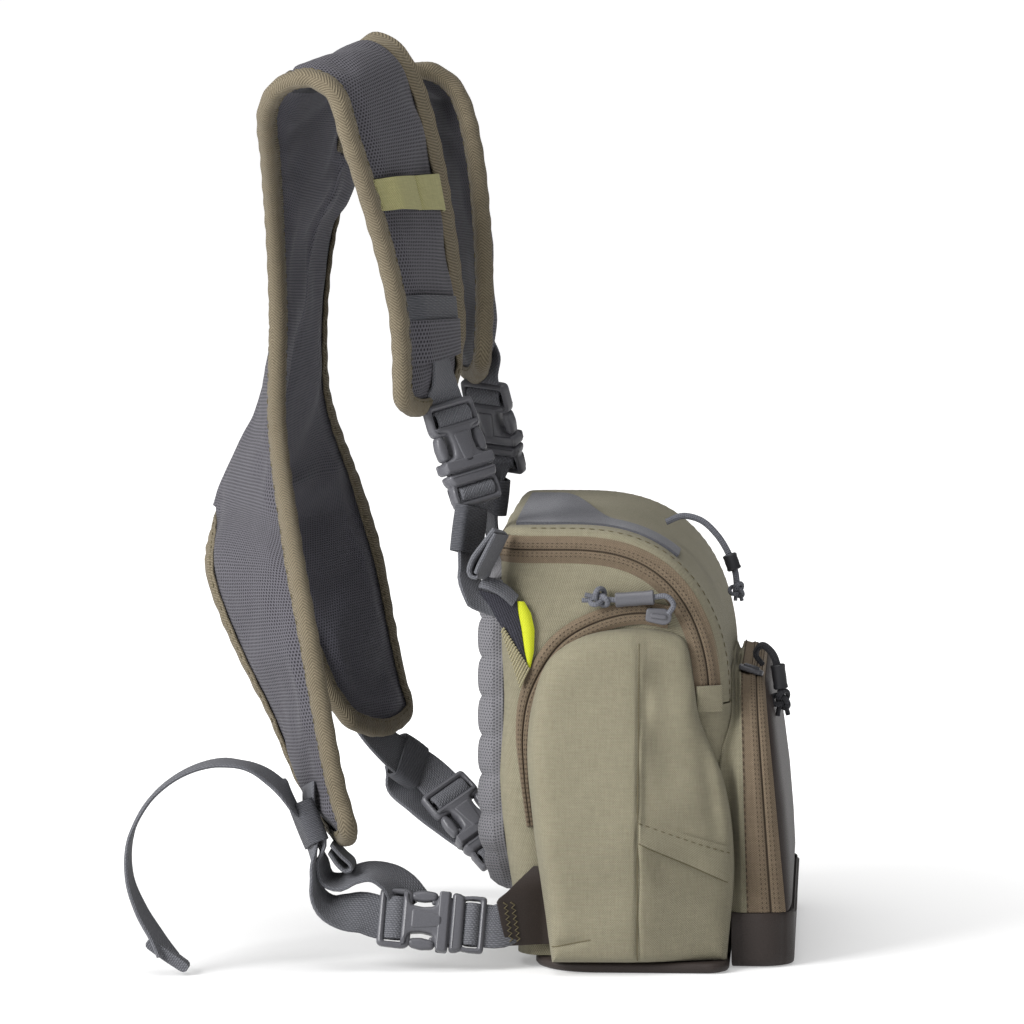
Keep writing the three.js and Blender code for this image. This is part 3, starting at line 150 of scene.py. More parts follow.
def normals_of(grid, away, wrap=False):
    """Normals of a grid of points, turned away from a point inside."""
    along = np.gradient(grid, axis=0)
    if wrap:
        ringed = np.concatenate([grid[:, -2:-1], grid, grid[:, 1:2]], axis=1)
        across = ringed[:, 2:] - ringed[:, :-2]
    else:
        across = np.gradient(grid, axis=1)
    normals = unit(np.cross(along, across))
    if np.sum(normals * (grid - away)) < 0:
        normals = -normals
    return normals


def surface_uv(grid):
    """Millimetres across and along a grid, measured on its surface."""
    across = np.linalg.norm(np.diff(grid, axis=1), axis=2)
    u = np.concatenate([np.zeros((len(grid), 1)), np.cumsum(across, axis=1)], axis=1)
    middle = grid.shape[1] // 2
    u = u - u[:, middle : middle + 1]
    v = np.repeat(run_of(grid[:, middle])[:, None], grid.shape[1], axis=1)
    return np.stack([u, v], axis=2)


def quads_of(rows, columns):
    """Corner numbers of the quads of a grid of points."""
    numbers = np.arange(rows * columns).reshape(rows, columns)
    corners = (numbers[:-1, :-1], numbers[1:, :-1], numbers[1:, 1:], numbers[:-1, 1:])
    return np.stack([part.ravel() for part in corners], axis=1)


class Piece:
    """Surface patches that are gathered into one mesh."""

    def __init__(self):
        self.points = []
        self.faces = []
        self.uvs = []
        self.kinds = []
        self.count = 0

    def hold(self, points):
        points = np.asarray(points, float).reshape(-1, 3)
        start = self.count
        self.points.append(points)
        self.count += len(points)
        return start

    def patch(self, grid, uv=None, kind=0, keep=None):
        """Quads of a grid. keep tells for each quad whether it is made."""
        grid = np.asarray(grid, float)
        uv = surface_uv(grid) if uv is None else np.asarray(uv, float)
        corners = quads_of(*grid.shape[:2])
        if keep is not None:
            corners = corners[keep.ravel()]
        self.faces.extend((corners + self.hold(grid)).tolist())
        self.uvs.extend(uv.reshape(-1, 2)[corners.ravel()].tolist())
        self.kinds.extend([kind] * len(corners))

    def cap(self, ring, uv=None, kind=0):
        """One face over a closed ring of points."""
        start = self.hold(ring)
        self.faces.append(tuple(range(start, start + len(ring))))
        self.uvs.extend(np.zeros((len(ring), 2)).tolist() if uv is None else np.asarray(uv, float).tolist())
        self.kinds.append(kind)

    def shell(self, outer, inner, uv=None, wrap=False, open_end=True):
        """Two grids joined along their free borders into a closed wall."""
        self.patch(outer, uv)
        self.patch(inner, uv)
        self.patch(np.stack([outer[0], inner[0]]))
        if open_end:
            self.patch(np.stack([outer[-1], inner[-1]]))
        if not wrap:
            self.patch(np.stack([outer[:, 0], inner[:, 0]]))
            self.patch(np.stack([outer[:, -1], inner[:, -1]]))

    def wall(self, grid, thick, away, uv=None, wrap=False, open_end=True):
        """A cloth wall with its outer face on the grid."""
        normals = normals_of(grid, away, wrap)
        self.shell(grid, grid - normals * thick, uv, wrap, open_end)

    def sweep(self, centres, across, section, facing=None, kind=0, ends=True):
        """A closed section carried along a line, square to it unless it is given a facing."""
        across = np.broadcast_to(across, centres.shape)
        if facing is None:
            facing = np.cross(tangents(centres), across)
        facing = np.broadcast_to(facing, centres.shape)
        section = np.asarray(section, float)
        if section.ndim == 2:
            section = np.repeat(section[None], len(centres), axis=0)
        grid = centres[:, None] + across[:, None] * section[:, :, :1] + facing[:, None] * section[:, :, 1:]
        around = run_of(section[len(section) // 2])
        along = run_of(centres)
        uv = np.stack(np.meshgrid(around, along), axis=2)
        self.patch(grid, uv, kind)
        if ends:
            self.cap(grid[0, :-1], section[0, :-1], kind)
            self.cap(grid[-1, :-1], section[-1, :-1], kind)
        return grid

    def solid(self, mesh, place, kind=0):
        """The faces of a ready mesh, carried to their place by a function."""
        points = np.array([v.co for v in mesh.vertices])
        start = self.hold(place(points))
        for polygon in mesh.polygons:
            corners = list(polygon.vertices)
            self.faces.append(tuple(start + c for c in corners))
            self.uvs.extend(points[corners, :2].tolist())
            self.kinds.append(kind)


def in_metres(points):
    return (np.asarray(points, float) - NAPE) * MILLIMETRE


def finished(piece, name, finishes, nodes=(), crease=50):
    """The mesh object of a piece, welded, with its faces outwards, riding on the pack."""
    mesh = bpy.data.meshes.new(name)
    mesh.from_pydata(in_metres(np.vstack(piece.points)).tolist(), [], piece.faces)
    layer = mesh.uv_layers.new(name="surface")
    layer.data.foreach_set("uv", np.asarray(piece.uvs, np.float32).ravel())
    mesh.polygons.foreach_set("material_index", piece.kinds)
    for finish in finishes:
        mesh.materials.append(finish)
    shape = bmesh.new()
    shape.from_mesh(mesh)
    bmesh.ops.remove_doubles(shape, verts=shape.verts, dist=1e-6)
    bmesh.ops.dissolve_degenerate(shape, edges=shape.edges, dist=1e-7)
    bmesh.ops.recalc_face_normals(shape, faces=shape.faces)
    shape.to_mesh(mesh)
    shape.free()
    mesh.polygons.foreach_set("use_smooth", [True] * len(mesh.polygons))
    mesh.set_sharp_from_angle(angle=math.radians(crease))
    return settled(bpy.data.objects.new(name, mesh), nodes)


def walled(name, grid, thick, inside, coat, nodes, uv=None, ring=False):
    """A piece that is one cloth wall, open at its borders or drawn together like a bowl."""
    piece = Piece()
    piece.wall(grid, thick, inside, uv, ring, not ring)
    return finished(piece, name, [coat], nodes)


def settled(item, nodes=()):
    """Puts a piece on the pack, in the place of its solids, which it hides."""
    shown(item)
    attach(item, "root")
    if nodes:
        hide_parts(*nodes)
    return item


def read_at(grid, rows, columns):
    """A grid read at fractional row and column numbers."""
    for axis, places in ((0, rows), (1, columns)):
        low = np.clip(np.floor(places).astype(int), 0, grid.shape[axis] - 2)
        share = np.expand_dims(places - low, tuple(k for k in range(3) if k != axis))
        grid = mix(np.take(grid, low, axis), np.take(grid, low + 1, axis), share)
    return grid


def blown_out(name, grid, normals, held, rows, columns, spare, cap):
    """Moves of a padded face, from a cloth simulation that blows it out between its held seams."""
    coarse = read_at(grid, rows, columns)
    outwards = read_at(normals, rows, columns)
    fixed = read_at(held[:, :, None].astype(float), rows, columns)[:, :, 0] > HELD_SHARE
    start = in_metres(coarse).reshape(-1, 3)
    faces = quads_of(*coarse.shape[:2])
    turn = np.cross(start[faces[:, 1]] - start[faces[:, 0]], start[faces[:, 3]] - start[faces[:, 0]])
    if np.sum(turn * outwards.reshape(-1, 3)[faces[:, 0]]) < 0:
        faces = faces[:, ::-1]
    mesh = bpy.data.meshes.new(name)
    mesh.from_pydata(start.tolist(), [], faces.tolist())
    item = shown(bpy.data.objects.new(name, mesh))
    item.vertex_groups.new(name="held").add(np.flatnonzero(fixed).tolist(), 1.0, "REPLACE")
    cloth = item.modifiers.new("cloth", "CLOTH")
    cloth.settings.quality = 6
    cloth.settings.mass = 0.15
    cloth.settings.bending_stiffness = 0.3
    cloth.settings.use_pressure = True
    cloth.settings.uniform_pressure_force = CLOTH_PRESSURE
    cloth.settings.shrink_min = -spare
    cloth.settings.vertex_group_mass = "held"
    cloth.settings.effector_weights.gravity = 0
    cloth.point_cache.frame_start = 1
    cloth.point_cache.frame_end = CLOTH_FRAMES
    for step in range(1, CLOTH_FRAMES + 1):
        SCENE.frame_set(step)
    settled_mesh = item.evaluated_get(bpy.context.evaluated_depsgraph_get()).to_mesh()
    end = np.array([vertex.co for vertex in settled_mesh.vertices])
    SCENE.frame_set(1)
    bpy.data.objects.remove(item)
    bpy.data.meshes.remove(mesh)
    moves = (end - start) / MILLIMETRE
    size = np.linalg.norm(moves, axis=1)[:, None]
    moves = (moves * np.minimum(1, cap / np.maximum(size, 1e-6))).reshape(coarse.shape)
    for _ in range(2):
        moves[1:-1] = moves[1:-1] / 2 + (moves[:-2] + moves[2:]) / 4
        moves = np.swapaxes(moves, 0, 1)
    back_rows = np.interp(np.arange(grid.shape[0]), rows, np.arange(len(rows)))
    back_columns = np.interp(np.arange(grid.shape[1]), columns, np.arange(len(columns)))
    return read_at(moves, back_rows, back_columns)


# Camera at the photographed angle
def make_camera():
    turn = math.radians(3)
    rise = math.radians(5)
    distance = 2.4
    target = np.array([0.06918, 0.0015, -0.12472])
    back = np.array([math.sin(turn) * math.cos(rise), -math.cos(turn) * math.cos(rise), math.sin(rise)])
    data = bpy.data.cameras.new("camera")
    data.sensor_width = 36
    data.lens = 224.4
    data.clip_end = 500
    camera = bpy.data.objects.new("camera", data)
    camera.location = target + back * distance
    camera.rotation_euler = (math.pi / 2 - rise, 0, turn)
    bpy.context.scene.camera = shown(camera)


make_camera()


# Shader groups
def colour(red, green, blue):
    """Linear colour of a printed one, toned down for the studio light, which is stronger than one."""
    channels = [channel / 255 for channel in (red, green, blue)]
    linear = [c / 12.92 if c <= 0.04045 else ((c + 0.055) / 1.055) ** 2.4 for c in channels]
    return (*[channel * LIGHT_SHARE for channel in linear], 1.0)


def set_inputs(node, values):
    for label, value in values.items():
        node.inputs[label].default_value = value


def number(tree, operation, *terms):
    """Result of a math node on sockets or plain numbers."""
    node = tree.nodes.new("ShaderNodeMath")
    node.operation = operation
    for socket, term in zip(node.inputs, terms):
        if isinstance(term, bpy.types.NodeSocket):
            tree.links.new(term, socket)
        else:
            socket.default_value = term
    return node.outputs[0]


def new_group(name, inputs, outputs=("Shade", "Height")):
    """A pattern group: its tree, its way to add a math node, its sockets and the place in millimetres."""
    tree = bpy.data.node_groups.new(name, "ShaderNodeTree")
    tree.interface.new_socket("Place", in_out="INPUT", socket_type="NodeSocketVector")
    for label, default in inputs.items():
        socket = tree.interface.new_socket(label, in_out="INPUT", socket_type="NodeSocketFloat")
        socket.default_value = default
    for label in outputs:
        tree.interface.new_socket(label, in_out="OUTPUT", socket_type="NodeSocketFloat")
    source = tree.nodes.new("NodeGroupInput")
    sink = tree.nodes.new("NodeGroupOutput")
    split = tree.nodes.new("ShaderNodeSeparateXYZ")
    tree.links.new(source.outputs["Place"], split.inputs[0])
    return tree, functools.partial(number, tree), source.outputs, sink.inputs, split.outputs


def noise_at(tree, place, scale, detail=2.0, stretch=None):
    node = tree.nodes.new("ShaderNodeTexNoise")
    set_inputs(node, {"Detail": detail, "Scale": scale})
    if stretch:
        mapping = tree.nodes.new("ShaderNodeMapping")
        mapping.inputs["Scale"].default_value = stretch
        tree.links.new(place, mapping.inputs["Vector"])
        place = mapping.outputs[0]
    tree.links.new(place, node.inputs["Vector"])
    return node.outputs[0]


def weave_group():
    """Plain weave with uneven threads."""
    tree, calc, given, out, place = new_group("plain weave", {"Thread": 0.42, "Slub": 0.4})
    waves = []
    for axis in (0, 1):
        turns = calc("DIVIDE", place[axis], given["Thread"])
        waves.append(calc("SINE", calc("MULTIPLY", turns, math.pi)))
    crossing = calc("MULTIPLY", *waves)
    weft = noise_at(tree, given["Place"], 1.0, 2.0, (0.16, 1.5, 1.0))
    warp = noise_at(tree, given["Place"], 1.0, 2.0, (1.5, 0.16, 1.0))
    slub = calc("SUBTRACT", calc("ADD", weft, warp), 1.0)
    slub = calc("MULTIPLY", slub, given["Slub"])
    lit = calc("MULTIPLY_ADD", crossing, 0.34, 0.5)
    tree.links.new(calc("ADD", lit, slub), out["Shade"])
    raised = calc("MULTIPLY_ADD", crossing, 0.5, 0.5)
    tree.links.new(calc("MULTIPLY_ADD", slub, 0.6, raised), out["Height"])
    return tree


def holes_group():
    """Staggered round holes of a spacer mesh."""
    inputs = {"Across": 1.5, "Along": 1.3, "Hole": 0.42, "Soft": 0.28}
    tree, calc, given, out, place = new_group("spacer mesh", inputs)
    row = calc("DIVIDE", place[1], given["Along"])
    stagger = calc("MULTIPLY", calc("MODULO", calc("FLOOR", row), 2.0), 0.5)
    column = calc("ADD", calc("DIVIDE", place[0], given["Across"]), stagger)
    offsets = []
    for turns, pitch in ((column, "Across"), (row, "Along")):
        centred = calc("SUBTRACT", calc("FRACT", turns), 0.5)
        offset = calc("MULTIPLY", centred, given[pitch])
        offsets.append(calc("MULTIPLY", offset, offset))
    reach = calc("SQRT", calc("ADD", *offsets))
    rim = calc("DIVIDE", calc("SUBTRACT", reach, given["Hole"]), given["Soft"])
    solid = calc("MINIMUM", calc("MAXIMUM", calc("ADD", rim, 0.5), 0.0), 1.0)
    yarn = noise_at(tree, given["Place"], 2.2, 2.0)
    fleck = calc("MULTIPLY_ADD", yarn, 0.7, 0.62)
    tree.links.new(calc("MULTIPLY", solid, fleck), out["Shade"])
    tree.links.new(solid, out["Height"])
    return tree


def twill_group():
    """Herringbone tape."""
    tree, calc, given, out, place = new_group("twill tape", {"Pitch": 1.15, "Width": 3.6})
    fold = calc("PINGPONG", place[0], given["Width"])
    slant = calc("ADD", place[1], calc("MULTIPLY", fold, 0.8))
    turns = calc("DIVIDE", slant, given["Pitch"])
    wave = calc("SINE", calc("MULTIPLY", turns, 2 * math.pi))
    yarn = noise_at(tree, given["Place"], 1.3, 2.0)
    raised = calc("MULTIPLY_ADD", wave, 0.5, 0.5)
    tree.links.new(raised, out["Height"])
    shade = calc("MULTIPLY_ADD", wave, 0.3, 0.16)
    tree.links.new(calc("MULTIPLY_ADD", yarn, 0.68, shade), out["Shade"])
    return tree


def webbing_group():
    """Ribbed webbing: columns of short slanting ribs."""
    inputs = {"Column": 0.8, "Rib": 1.2}
    tree, calc, given, out, place = new_group("ribbed webbing", inputs)
    column = calc("DIVIDE", place[0], given["Column"])
    ridge = calc("ABSOLUTE", calc("SINE", calc("MULTIPLY", column, math.pi)))
    half = calc("MULTIPLY", calc("MODULO", calc("FLOOR", column), 2.0), 0.5)
    rib = calc("ADD", calc("DIVIDE", place[1], given["Rib"]), half)
    slant = calc("ADD", rib, calc("MULTIPLY", calc("FRACT", column), 0.35))
    wave = calc("SINE", calc("MULTIPLY", slant, 2 * math.pi))
    woven = calc("MULTIPLY", ridge, calc("MULTIPLY_ADD", wave, 0.32, 0.68))
    yarn = noise_at(tree, given["Place"], 0.9, 3.0)
    tree.links.new(woven, out["Height"])
    shade = calc("MULTIPLY", woven, 0.72)
    tree.links.new(calc("MULTIPLY_ADD", yarn, 0.5, shade), out["Shade"])
    return tree


def braid_group():
    """Braided cord: crossing spirals."""
    tree, calc, given, out, place = new_group("braided cord", {"Pitch": 1.5})
    waves = []
    for sign in (1.0, -1.0):
        spiral = calc("MULTIPLY_ADD", place[0], sign, place[1])
        turns = calc("DIVIDE", spiral, given["Pitch"])
        waves.append(calc("SINE", calc("MULTIPLY", turns, 2 * math.pi)))
    raised = calc("MULTIPLY_ADD", calc("MULTIPLY", *waves), 0.5, 0.5)
    yarn = noise_at(tree, given["Place"], 1.6, 2.0)
    tree.links.new(raised, out["Height"])
    shade = calc("MULTIPLY", raised, 0.55)
    tree.links.new(calc("MULTIPLY_ADD", yarn, 0.5, shade), out["Shade"])
    return tree


def grain_group():
    """Fine moulded or felted grain."""
    tree, calc, given, out, _ = new_group("fine grain", {"Size": 1.0})
    scaled = tree.nodes.new("ShaderNodeVectorMath")
    scaled.operation = "SCALE"
    tree.links.new(given["Place"], scaled.inputs[0])
    tree.links.new(calc("DIVIDE", 1.0, given["Size"]), scaled.inputs["Scale"])
    fine = noise_at(tree, scaled.outputs[0], 1.6, 4.0)
    tree.links.new(fine, out["Height"])
    tree.links.new(fine, out["Shade"])
    return tree


def mottle_group():
    """Broad soft changes of tone over the whole pack."""
    tree, calc, given, out, _ = new_group("soft mottle", {"Strength": 0.2}, ("Tone",))
    broad = noise_at(tree, given["Place"], 26.0, 3.0)
    swing = calc("MULTIPLY", calc("SUBTRACT", broad, 0.5), given["Strength"])
    tree.links.new(calc("ADD", swing, 1.0), out["Tone"])
    return tree


GROUPS = {
    "weave": weave_group(),
    "holes": holes_group(),
    "twill": twill_group(),
    "webbing": webbing_group(),
    "braid": braid_group(),
    "grain": grain_group(),
}
MOTTLE = mottle_group()


def finish(name, group, dark, light, roughness, relief, mottle=0.2, sheen=0.0, sizes=None):
    """A finish: a pattern group mixes two tones, sets the roughness and raises the relief (mm)."""
    material = bpy.data.materials.new(name)
    material.use_nodes = True
    tree = material.node_tree
    shader = tree.nodes["Principled BSDF"]
    coordinates = tree.nodes.new("ShaderNodeTexCoord")
    pattern = tree.nodes.new("ShaderNodeGroup")
    pattern.node_tree = GROUPS[group]
    tree.links.new(coordinates.outputs["UV"], pattern.inputs["Place"])
    set_inputs(pattern, sizes or {})
    tones = tree.nodes.new("ShaderNodeMix")
    tones.data_type = "RGBA"
    set_inputs(tones, {"A": colour(*dark), "B": colour(*light)})
    tree.links.new(pattern.outputs["Shade"], tones.inputs["Factor"])
    broad = tree.nodes.new("ShaderNodeGroup")
    broad.node_tree = MOTTLE
    broad.inputs["Strength"].default_value = mottle
    tree.links.new(coordinates.outputs["Object"], broad.inputs["Place"])
    toned = tree.nodes.new("ShaderNodeVectorMath")
    toned.operation = "SCALE"
    tree.links.new(tones.outputs["Result"], toned.inputs[0])
    tree.links.new(broad.outputs["Tone"], toned.inputs["Scale"])
    tree.links.new(toned.outputs[0], shader.inputs["Base Color"])
    rough = tree.nodes.new("ShaderNodeMapRange")
    set_inputs(rough, {"To Min": min(1.0, roughness + 0.08), "To Max": roughness - 0.08})
    tree.links.new(pattern.outputs["Shade"], rough.inputs["Value"])
    tree.links.new(rough.outputs[0], shader.inputs["Roughness"])
    raised = tree.nodes.new("ShaderNodeBump")
    raised.inputs["Distance"].default_value = relief * MILLIMETRE
    tree.links.new(pattern.outputs["Height"], raised.inputs["Height"])
    tree.links.new(raised.outputs[0], shader.inputs["Normal"])
    set_inputs(shader, {"Sheen Weight": sheen, "Sheen Roughness": 0.5, "Specular IOR Level": 0.3})
    return material


# Finishes: pattern, dark and light tone, roughness, relief (mm), mottle, sheen, sizes of the pattern (mm)
FINE_HOLES = {"Across": 1.2, "Along": 1.1, "Hole": 0.3, "Soft": 0.25}
OLIVE = finish("olive cloth", "weave", (108, 103, 83), (161, 155, 132), 0.85, 0.16, 0.16, 0.06)
ZIPPER = finish("zip tape", "weave", (84, 72, 57), (136, 119, 98), 0.8, 0.14, 0.15, 0.03,
                {"Thread": 0.4})
BINDING = finish("twill binding", "twill", (78, 70, 55), (138, 127, 105), 0.85, 0.2, 0.3, 0.05)
MESH = finish("outer spacer mesh", "holes", (36, 35, 41), (94, 92, 99), 0.9, 0.4, 0.14, 0.05)
LINER = finish("inner spacer mesh", "holes", (41, 40, 47), (99, 98, 107), 0.9, 0.3, 0.14, 0.05,
               FINE_HOLES)
# A darker copy of the inner spacer mesh: painted shade on the inner faces of the shoulder straps
SHADED_LINER = finish("spacer mesh in painted shade", "holes", (25, 24, 29), (60, 59, 66), 0.9, 0.3, 0.14,
                    0.05, FINE_HOLES)
PADDING = finish("pale spacer mesh", "holes", (76, 76, 81), (128, 127, 131), 0.9, 0.3, 0.12, 0.05,
                 {"Across": 1.2, "Along": 1.1, "Hole": 0.26, "Soft": 0.25})
WEBBING = finish("grey webbing", "webbing", (58, 59, 64), (122, 123, 129), 0.75, 0.24, 0.12, 0.05)
# A darker copy of the webbing: painted shade for the stretch inside the slit
SHADED_WEBBING = finish("shaded webbing", "webbing", (24, 24, 30), (62, 62, 72), 0.8, 0.3, 0.1,
                      0.03, {"Column": 1.0, "Rib": 1.3})
ELASTIC = finish("grey elastic", "webbing", (52, 53, 58), (98, 99, 105), 0.8, 0.35, 0.12, 0.05,
                 {"Column": 0.6, "Rib": 5.0})
GREEN = finish("green tape", "weave", (130, 128, 80), (196, 191, 138), 0.8, 0.22, 0.15, 0.05,
               {"Thread": 0.45})
LIME = finish("lime lining", "weave", (176, 184, 16), (214, 220, 44), 0.7, 0.12, 0.1, 0.0,
              {"Thread": 0.5})
FELT = finish("grey felt", "grain", (66, 67, 74), (120, 121, 128), 0.95, 0.5, 0.15, 0.15)
BROWN = finish("brown coated cloth", "grain", (40, 33, 31), (62, 53, 49), 0.55, 0.12, 0.2, 0.0,
               {"Size": 0.7})
PLASTIC = finish("grey acetal", "grain", (86, 86, 91), (106, 106, 111), 0.34, 0.05, 0.1)
BLACK = finish("dark acetal", "grain", (30, 30, 33), (46, 46, 50), 0.45, 0.05, 0.1)
CORD = finish("grey cord", "braid", (70, 71, 78), (128, 130, 138), 0.8, 0.25, 0.1, 0.04)
DARK_CORD = finish("dark cord", "braid", (26, 26, 29), (58, 58, 63), 0.8, 0.25, 0.1, 0.04)
OLIVE_THREAD = finish("olive thread", "braid", (70, 63, 45), (120, 111, 84), 0.8, 0.1, 0.1)
BROWN_THREAD = finish("brown thread", "braid", (48, 39, 30), (84, 72, 58), 0.8, 0.1, 0.1)
PALE_THREAD = finish("pale thread", "braid", (120, 112, 84), (168, 160, 128), 0.8, 0.1, 0.1)


# Sections, plates and turned shapes
def ring_section(radius, count=12, waist=0.0):
    angle = np.linspace(0, 2 * math.pi, count + 1)
    reach = radius * (1 - waist * np.sin(angle) ** 2)
    return np.stack([reach * np.cos(angle), reach * np.sin(angle)], axis=1)


def band_section(width, thick, crown=0.0, steps=14):
    """Flat band with round edges, from its left edge over the face and back underneath."""
    radius = thick / 2
    half = width / 2 - radius
    line = np.linspace(-half, half, steps)
    swell = crown * (1 - (line / half) ** 2)
    turn = np.linspace(math.pi / 2, -math.pi / 2, 6)[1:-1]
    right = np.stack([half + radius * np.cos(turn), radius * np.sin(turn)], axis=1)
    top = np.stack([line, radius + swell], axis=1)
    under = np.stack([line[::-1], -radius - swell], axis=1)
    return np.vstack([top, right, under, -right, top[:1]])


def carried_along(line, first):
    """A direction square to a line, which turns as little as it can along it."""
    across = np.zeros_like(line)
    for k, direction in enumerate(tangents(line)):
        first = square_to(first, direction)
        across[k] = first
    return across


def rope(piece, line, radius, waist=0.0, first=(0.3, 0.2, 0.9), count=12):
    """A round or waisted cord along a line."""
    piece.sweep(line, carried_along(line, first), ring_section(radius, count, waist))


def turned(piece, middle, axis, profile, count=20):
    """A closed profile of (along, radius) pairs turned about an axis."""
    axis = unit(axis)
    across = unit(np.cross(axis, (0.31, 0.87, 0.38)))
    facing = np.cross(axis, across)
    angle = np.linspace(0, 2 * math.pi, count + 1)
    spokes = np.cos(angle)[:, None] * across + np.sin(angle)[:, None] * facing
    rows = [np.asarray(middle) + axis * along + spokes * radius for along, radius in profile]
    piece.patch(np.stack(rows))


def rounded(outline, radius, steps=4):
    """An outline with its corners rounded off."""
    result = []
    count = len(outline)
    for k in range(count):
        before, corner, after = (np.asarray(outline[(k + d) % count], float) for d in (-1, 0, 1))
        cuts = [min(radius, 0.48 * np.linalg.norm(end - corner)) for end in (before, after)]
        start = corner + unit(before - corner) * cuts[0]
        end = corner + unit(after - corner) * cuts[1]
        for share in np.linspace(0, 1, steps + 1):
            bent = mix(mix(start, corner, share), mix(corner, end, share), share)
            result.append(bent)
    return result


def plate(outline, thick, bevel, holes=()):
    """Flat moulded plate with rolled edges, as a mesh in millimetres."""
    data = bpy.data.curves.new("plate", "CURVE")
    data.dimensions = "2D"
    data.fill_mode = "BOTH"
    data.extrude = thick / 2 - bevel
    data.bevel_depth = bevel
    data.bevel_resolution = 2
    data.offset = -bevel
    for line in (outline, *holes):
        spline = data.splines.new("POLY")
        spline.points.add(len(line) - 1)
        for held, (x, y) in zip(spline.points, line):
            held.co = (x, y, 0, 1)
        spline.use_cyclic_u = True
    item = bpy.data.objects.new("plate", data)
    mesh = bpy.data.meshes.new_from_object(item)
    bpy.data.objects.remove(item)
    bpy.data.curves.remove(data)
    return mesh


def placed(origin, across, along, facing):
    """Carries flat (across, along, facing) millimetres to their place."""
    basis = np.stack([across, along, facing])
    return lambda points: np.asarray(origin) + np.asarray(points) @ basis


# Cords of the pulls, each with its knot and what sits on it
SIDE_PULL = [
    (12.6, 89.2, 130.4), (14.4, 89.4, 133.6), (12, 89, 136.6), (7.5, 88.6, 136.4), (0.3, 88.3, 135.7),
    (-7, 88.2, 135.2), (-12.5, 88.2, 135.8),
]
FRONT_PULL = [
    (46.2, -52, 108.0), (43.6, -53, 112.0), (46.0, -55, 115.4), (49.8, -56, 112.6), (52.0, -56, 106.5),
    (52.9, -56, 100.5), (53.2, -56, 95.5),
]
LID_LOOP = [
    (10, -28, 158.3), (16, -28.5, 160.6), (23, -29, 159), (29, -29, 153.5), (33, -28.5, 147),
    (35.6, -28, 140), (36.4, -27.5, 133),
]


PULL_WIDE = 3.0
LOOP_WIDE = 2.4
CORD_STEP = 0.8


def knot_line(middle, axis, side, size):
    """An overhand knot pulled up small."""
    turn = np.linspace(0, 2 * math.pi, 90)
    along = unit(axis)
    across = square_to(side, along)
    depth = np.cross(along, across)
    a = (np.sin(turn) + 2 * np.sin(2 * turn)) * size
    b = (np.cos(turn) - 2 * np.cos(2 * turn)) * size
    c = -np.sin(3 * turn) * size
    return np.asarray(middle) + a[:, None] * along + b[:, None] * across + c[:, None] * depth * 1.25


def knotted_end(name, line, radius, coat, tails):
    """Knot at the far end of a cord, with its two cut tails."""
    piece = Piece()
    axis = unit(line[-1] - line[-6])
    side = unit(np.cross(axis, (0.0, 1.0, 0.0)))
    middle = line[-1]
    rope(piece, knot_line(middle, axis, side, radius * 0.78), radius * 0.66)
    for lean, reach in tails:
        start = middle + axis * radius * 0.8
        end = start + axis * reach + side * lean + np.array([0, 0.35 * lean, 0])
        bent = (start + end) / 2 + side * lean * 0.25
        rope(piece, even_line([start, bent, end], 0.6), radius * 0.6)
    return finished(piece, name, [coat], ())


def pull(name, route, diameter, node, coat, waist=0.34):
    """Cord of a pull along its route; its knot and sleeve are made on their own."""
    piece = Piece()
    line = even_line(route, CORD_STEP)
    rope(piece, line, diameter / 2, waist, (0.0, 1.0, 0.0))
    cord = finished(piece, name, [coat], (node,))


def sleeve(name, middle, axis, length, node, coat):
    """Shrunk sleeve over a cord, with soft rims."""
    piece = Piece()
    half = length / 2
    outer, bore = 2.75, 1.7
    profile = [
        (-half, bore), (-half - 0.05, outer - 0.5), (-half + 0.35, outer), (-half * 0.5, outer - 0.18),
        (0, outer - 0.1), (half * 0.5, outer - 0.2), (half - 0.35, outer), (half + 0.05, outer - 0.5),
        (half, bore), (0, bore), (-half, bore),
    ]
    turned(piece, middle, axis, profile)
    return finished(piece, name, [coat], (node,), 40)


def make_pulls():
    for label, side in SIDES:
        route = [(x, side * y, z) for x, y, z in SIDE_PULL]
        line = even_line(route, CORD_STEP)
        grip = sleeve(f"sleeve_side_{label}", (0.3, side * 88.3, 135.7), (1, 0, 0.08), 14,
                      f"side_grip_{label}", PLASTIC)
        knot = knotted_end(f"knot_side_{label}", line, PULL_WIDE / 2, CORD,
                           ((1.6, 5.0), (-0.6, 4.2)))
        pull(f"cord_side_{label}", route, PULL_WIDE, f"side_pull_{label}", CORD)
    line = even_line(FRONT_PULL, CORD_STEP)
    grip = sleeve("sleeve_front", (52.4, -56, 104), (0.14, 0, -1), 9, "front_grip", BLACK)
    knot = knotted_end("knot_front", line, PULL_WIDE / 2, DARK_CORD, ((2.2, 4.6), (-1.6, 4.8)))
    pull("cord_front", FRONT_PULL, PULL_WIDE, "front_pull", DARK_CORD)
    line = even_line(LID_LOOP, CORD_STEP)
    grip = sleeve("sleeve_lid", (34.4, -28.2, 143.5), (0.35, 0, -1), 6, "loop_toggle", BLACK)
    knot = knotted_end("knot_lid", line, LOOP_WIDE / 2, CORD, ((1.4, 3.2), (-1.0, 3.0)))
    pull("cord_lid", LID_LOOP, LOOP_WIDE, "lid_loop", CORD, 0.0)


make_pulls()


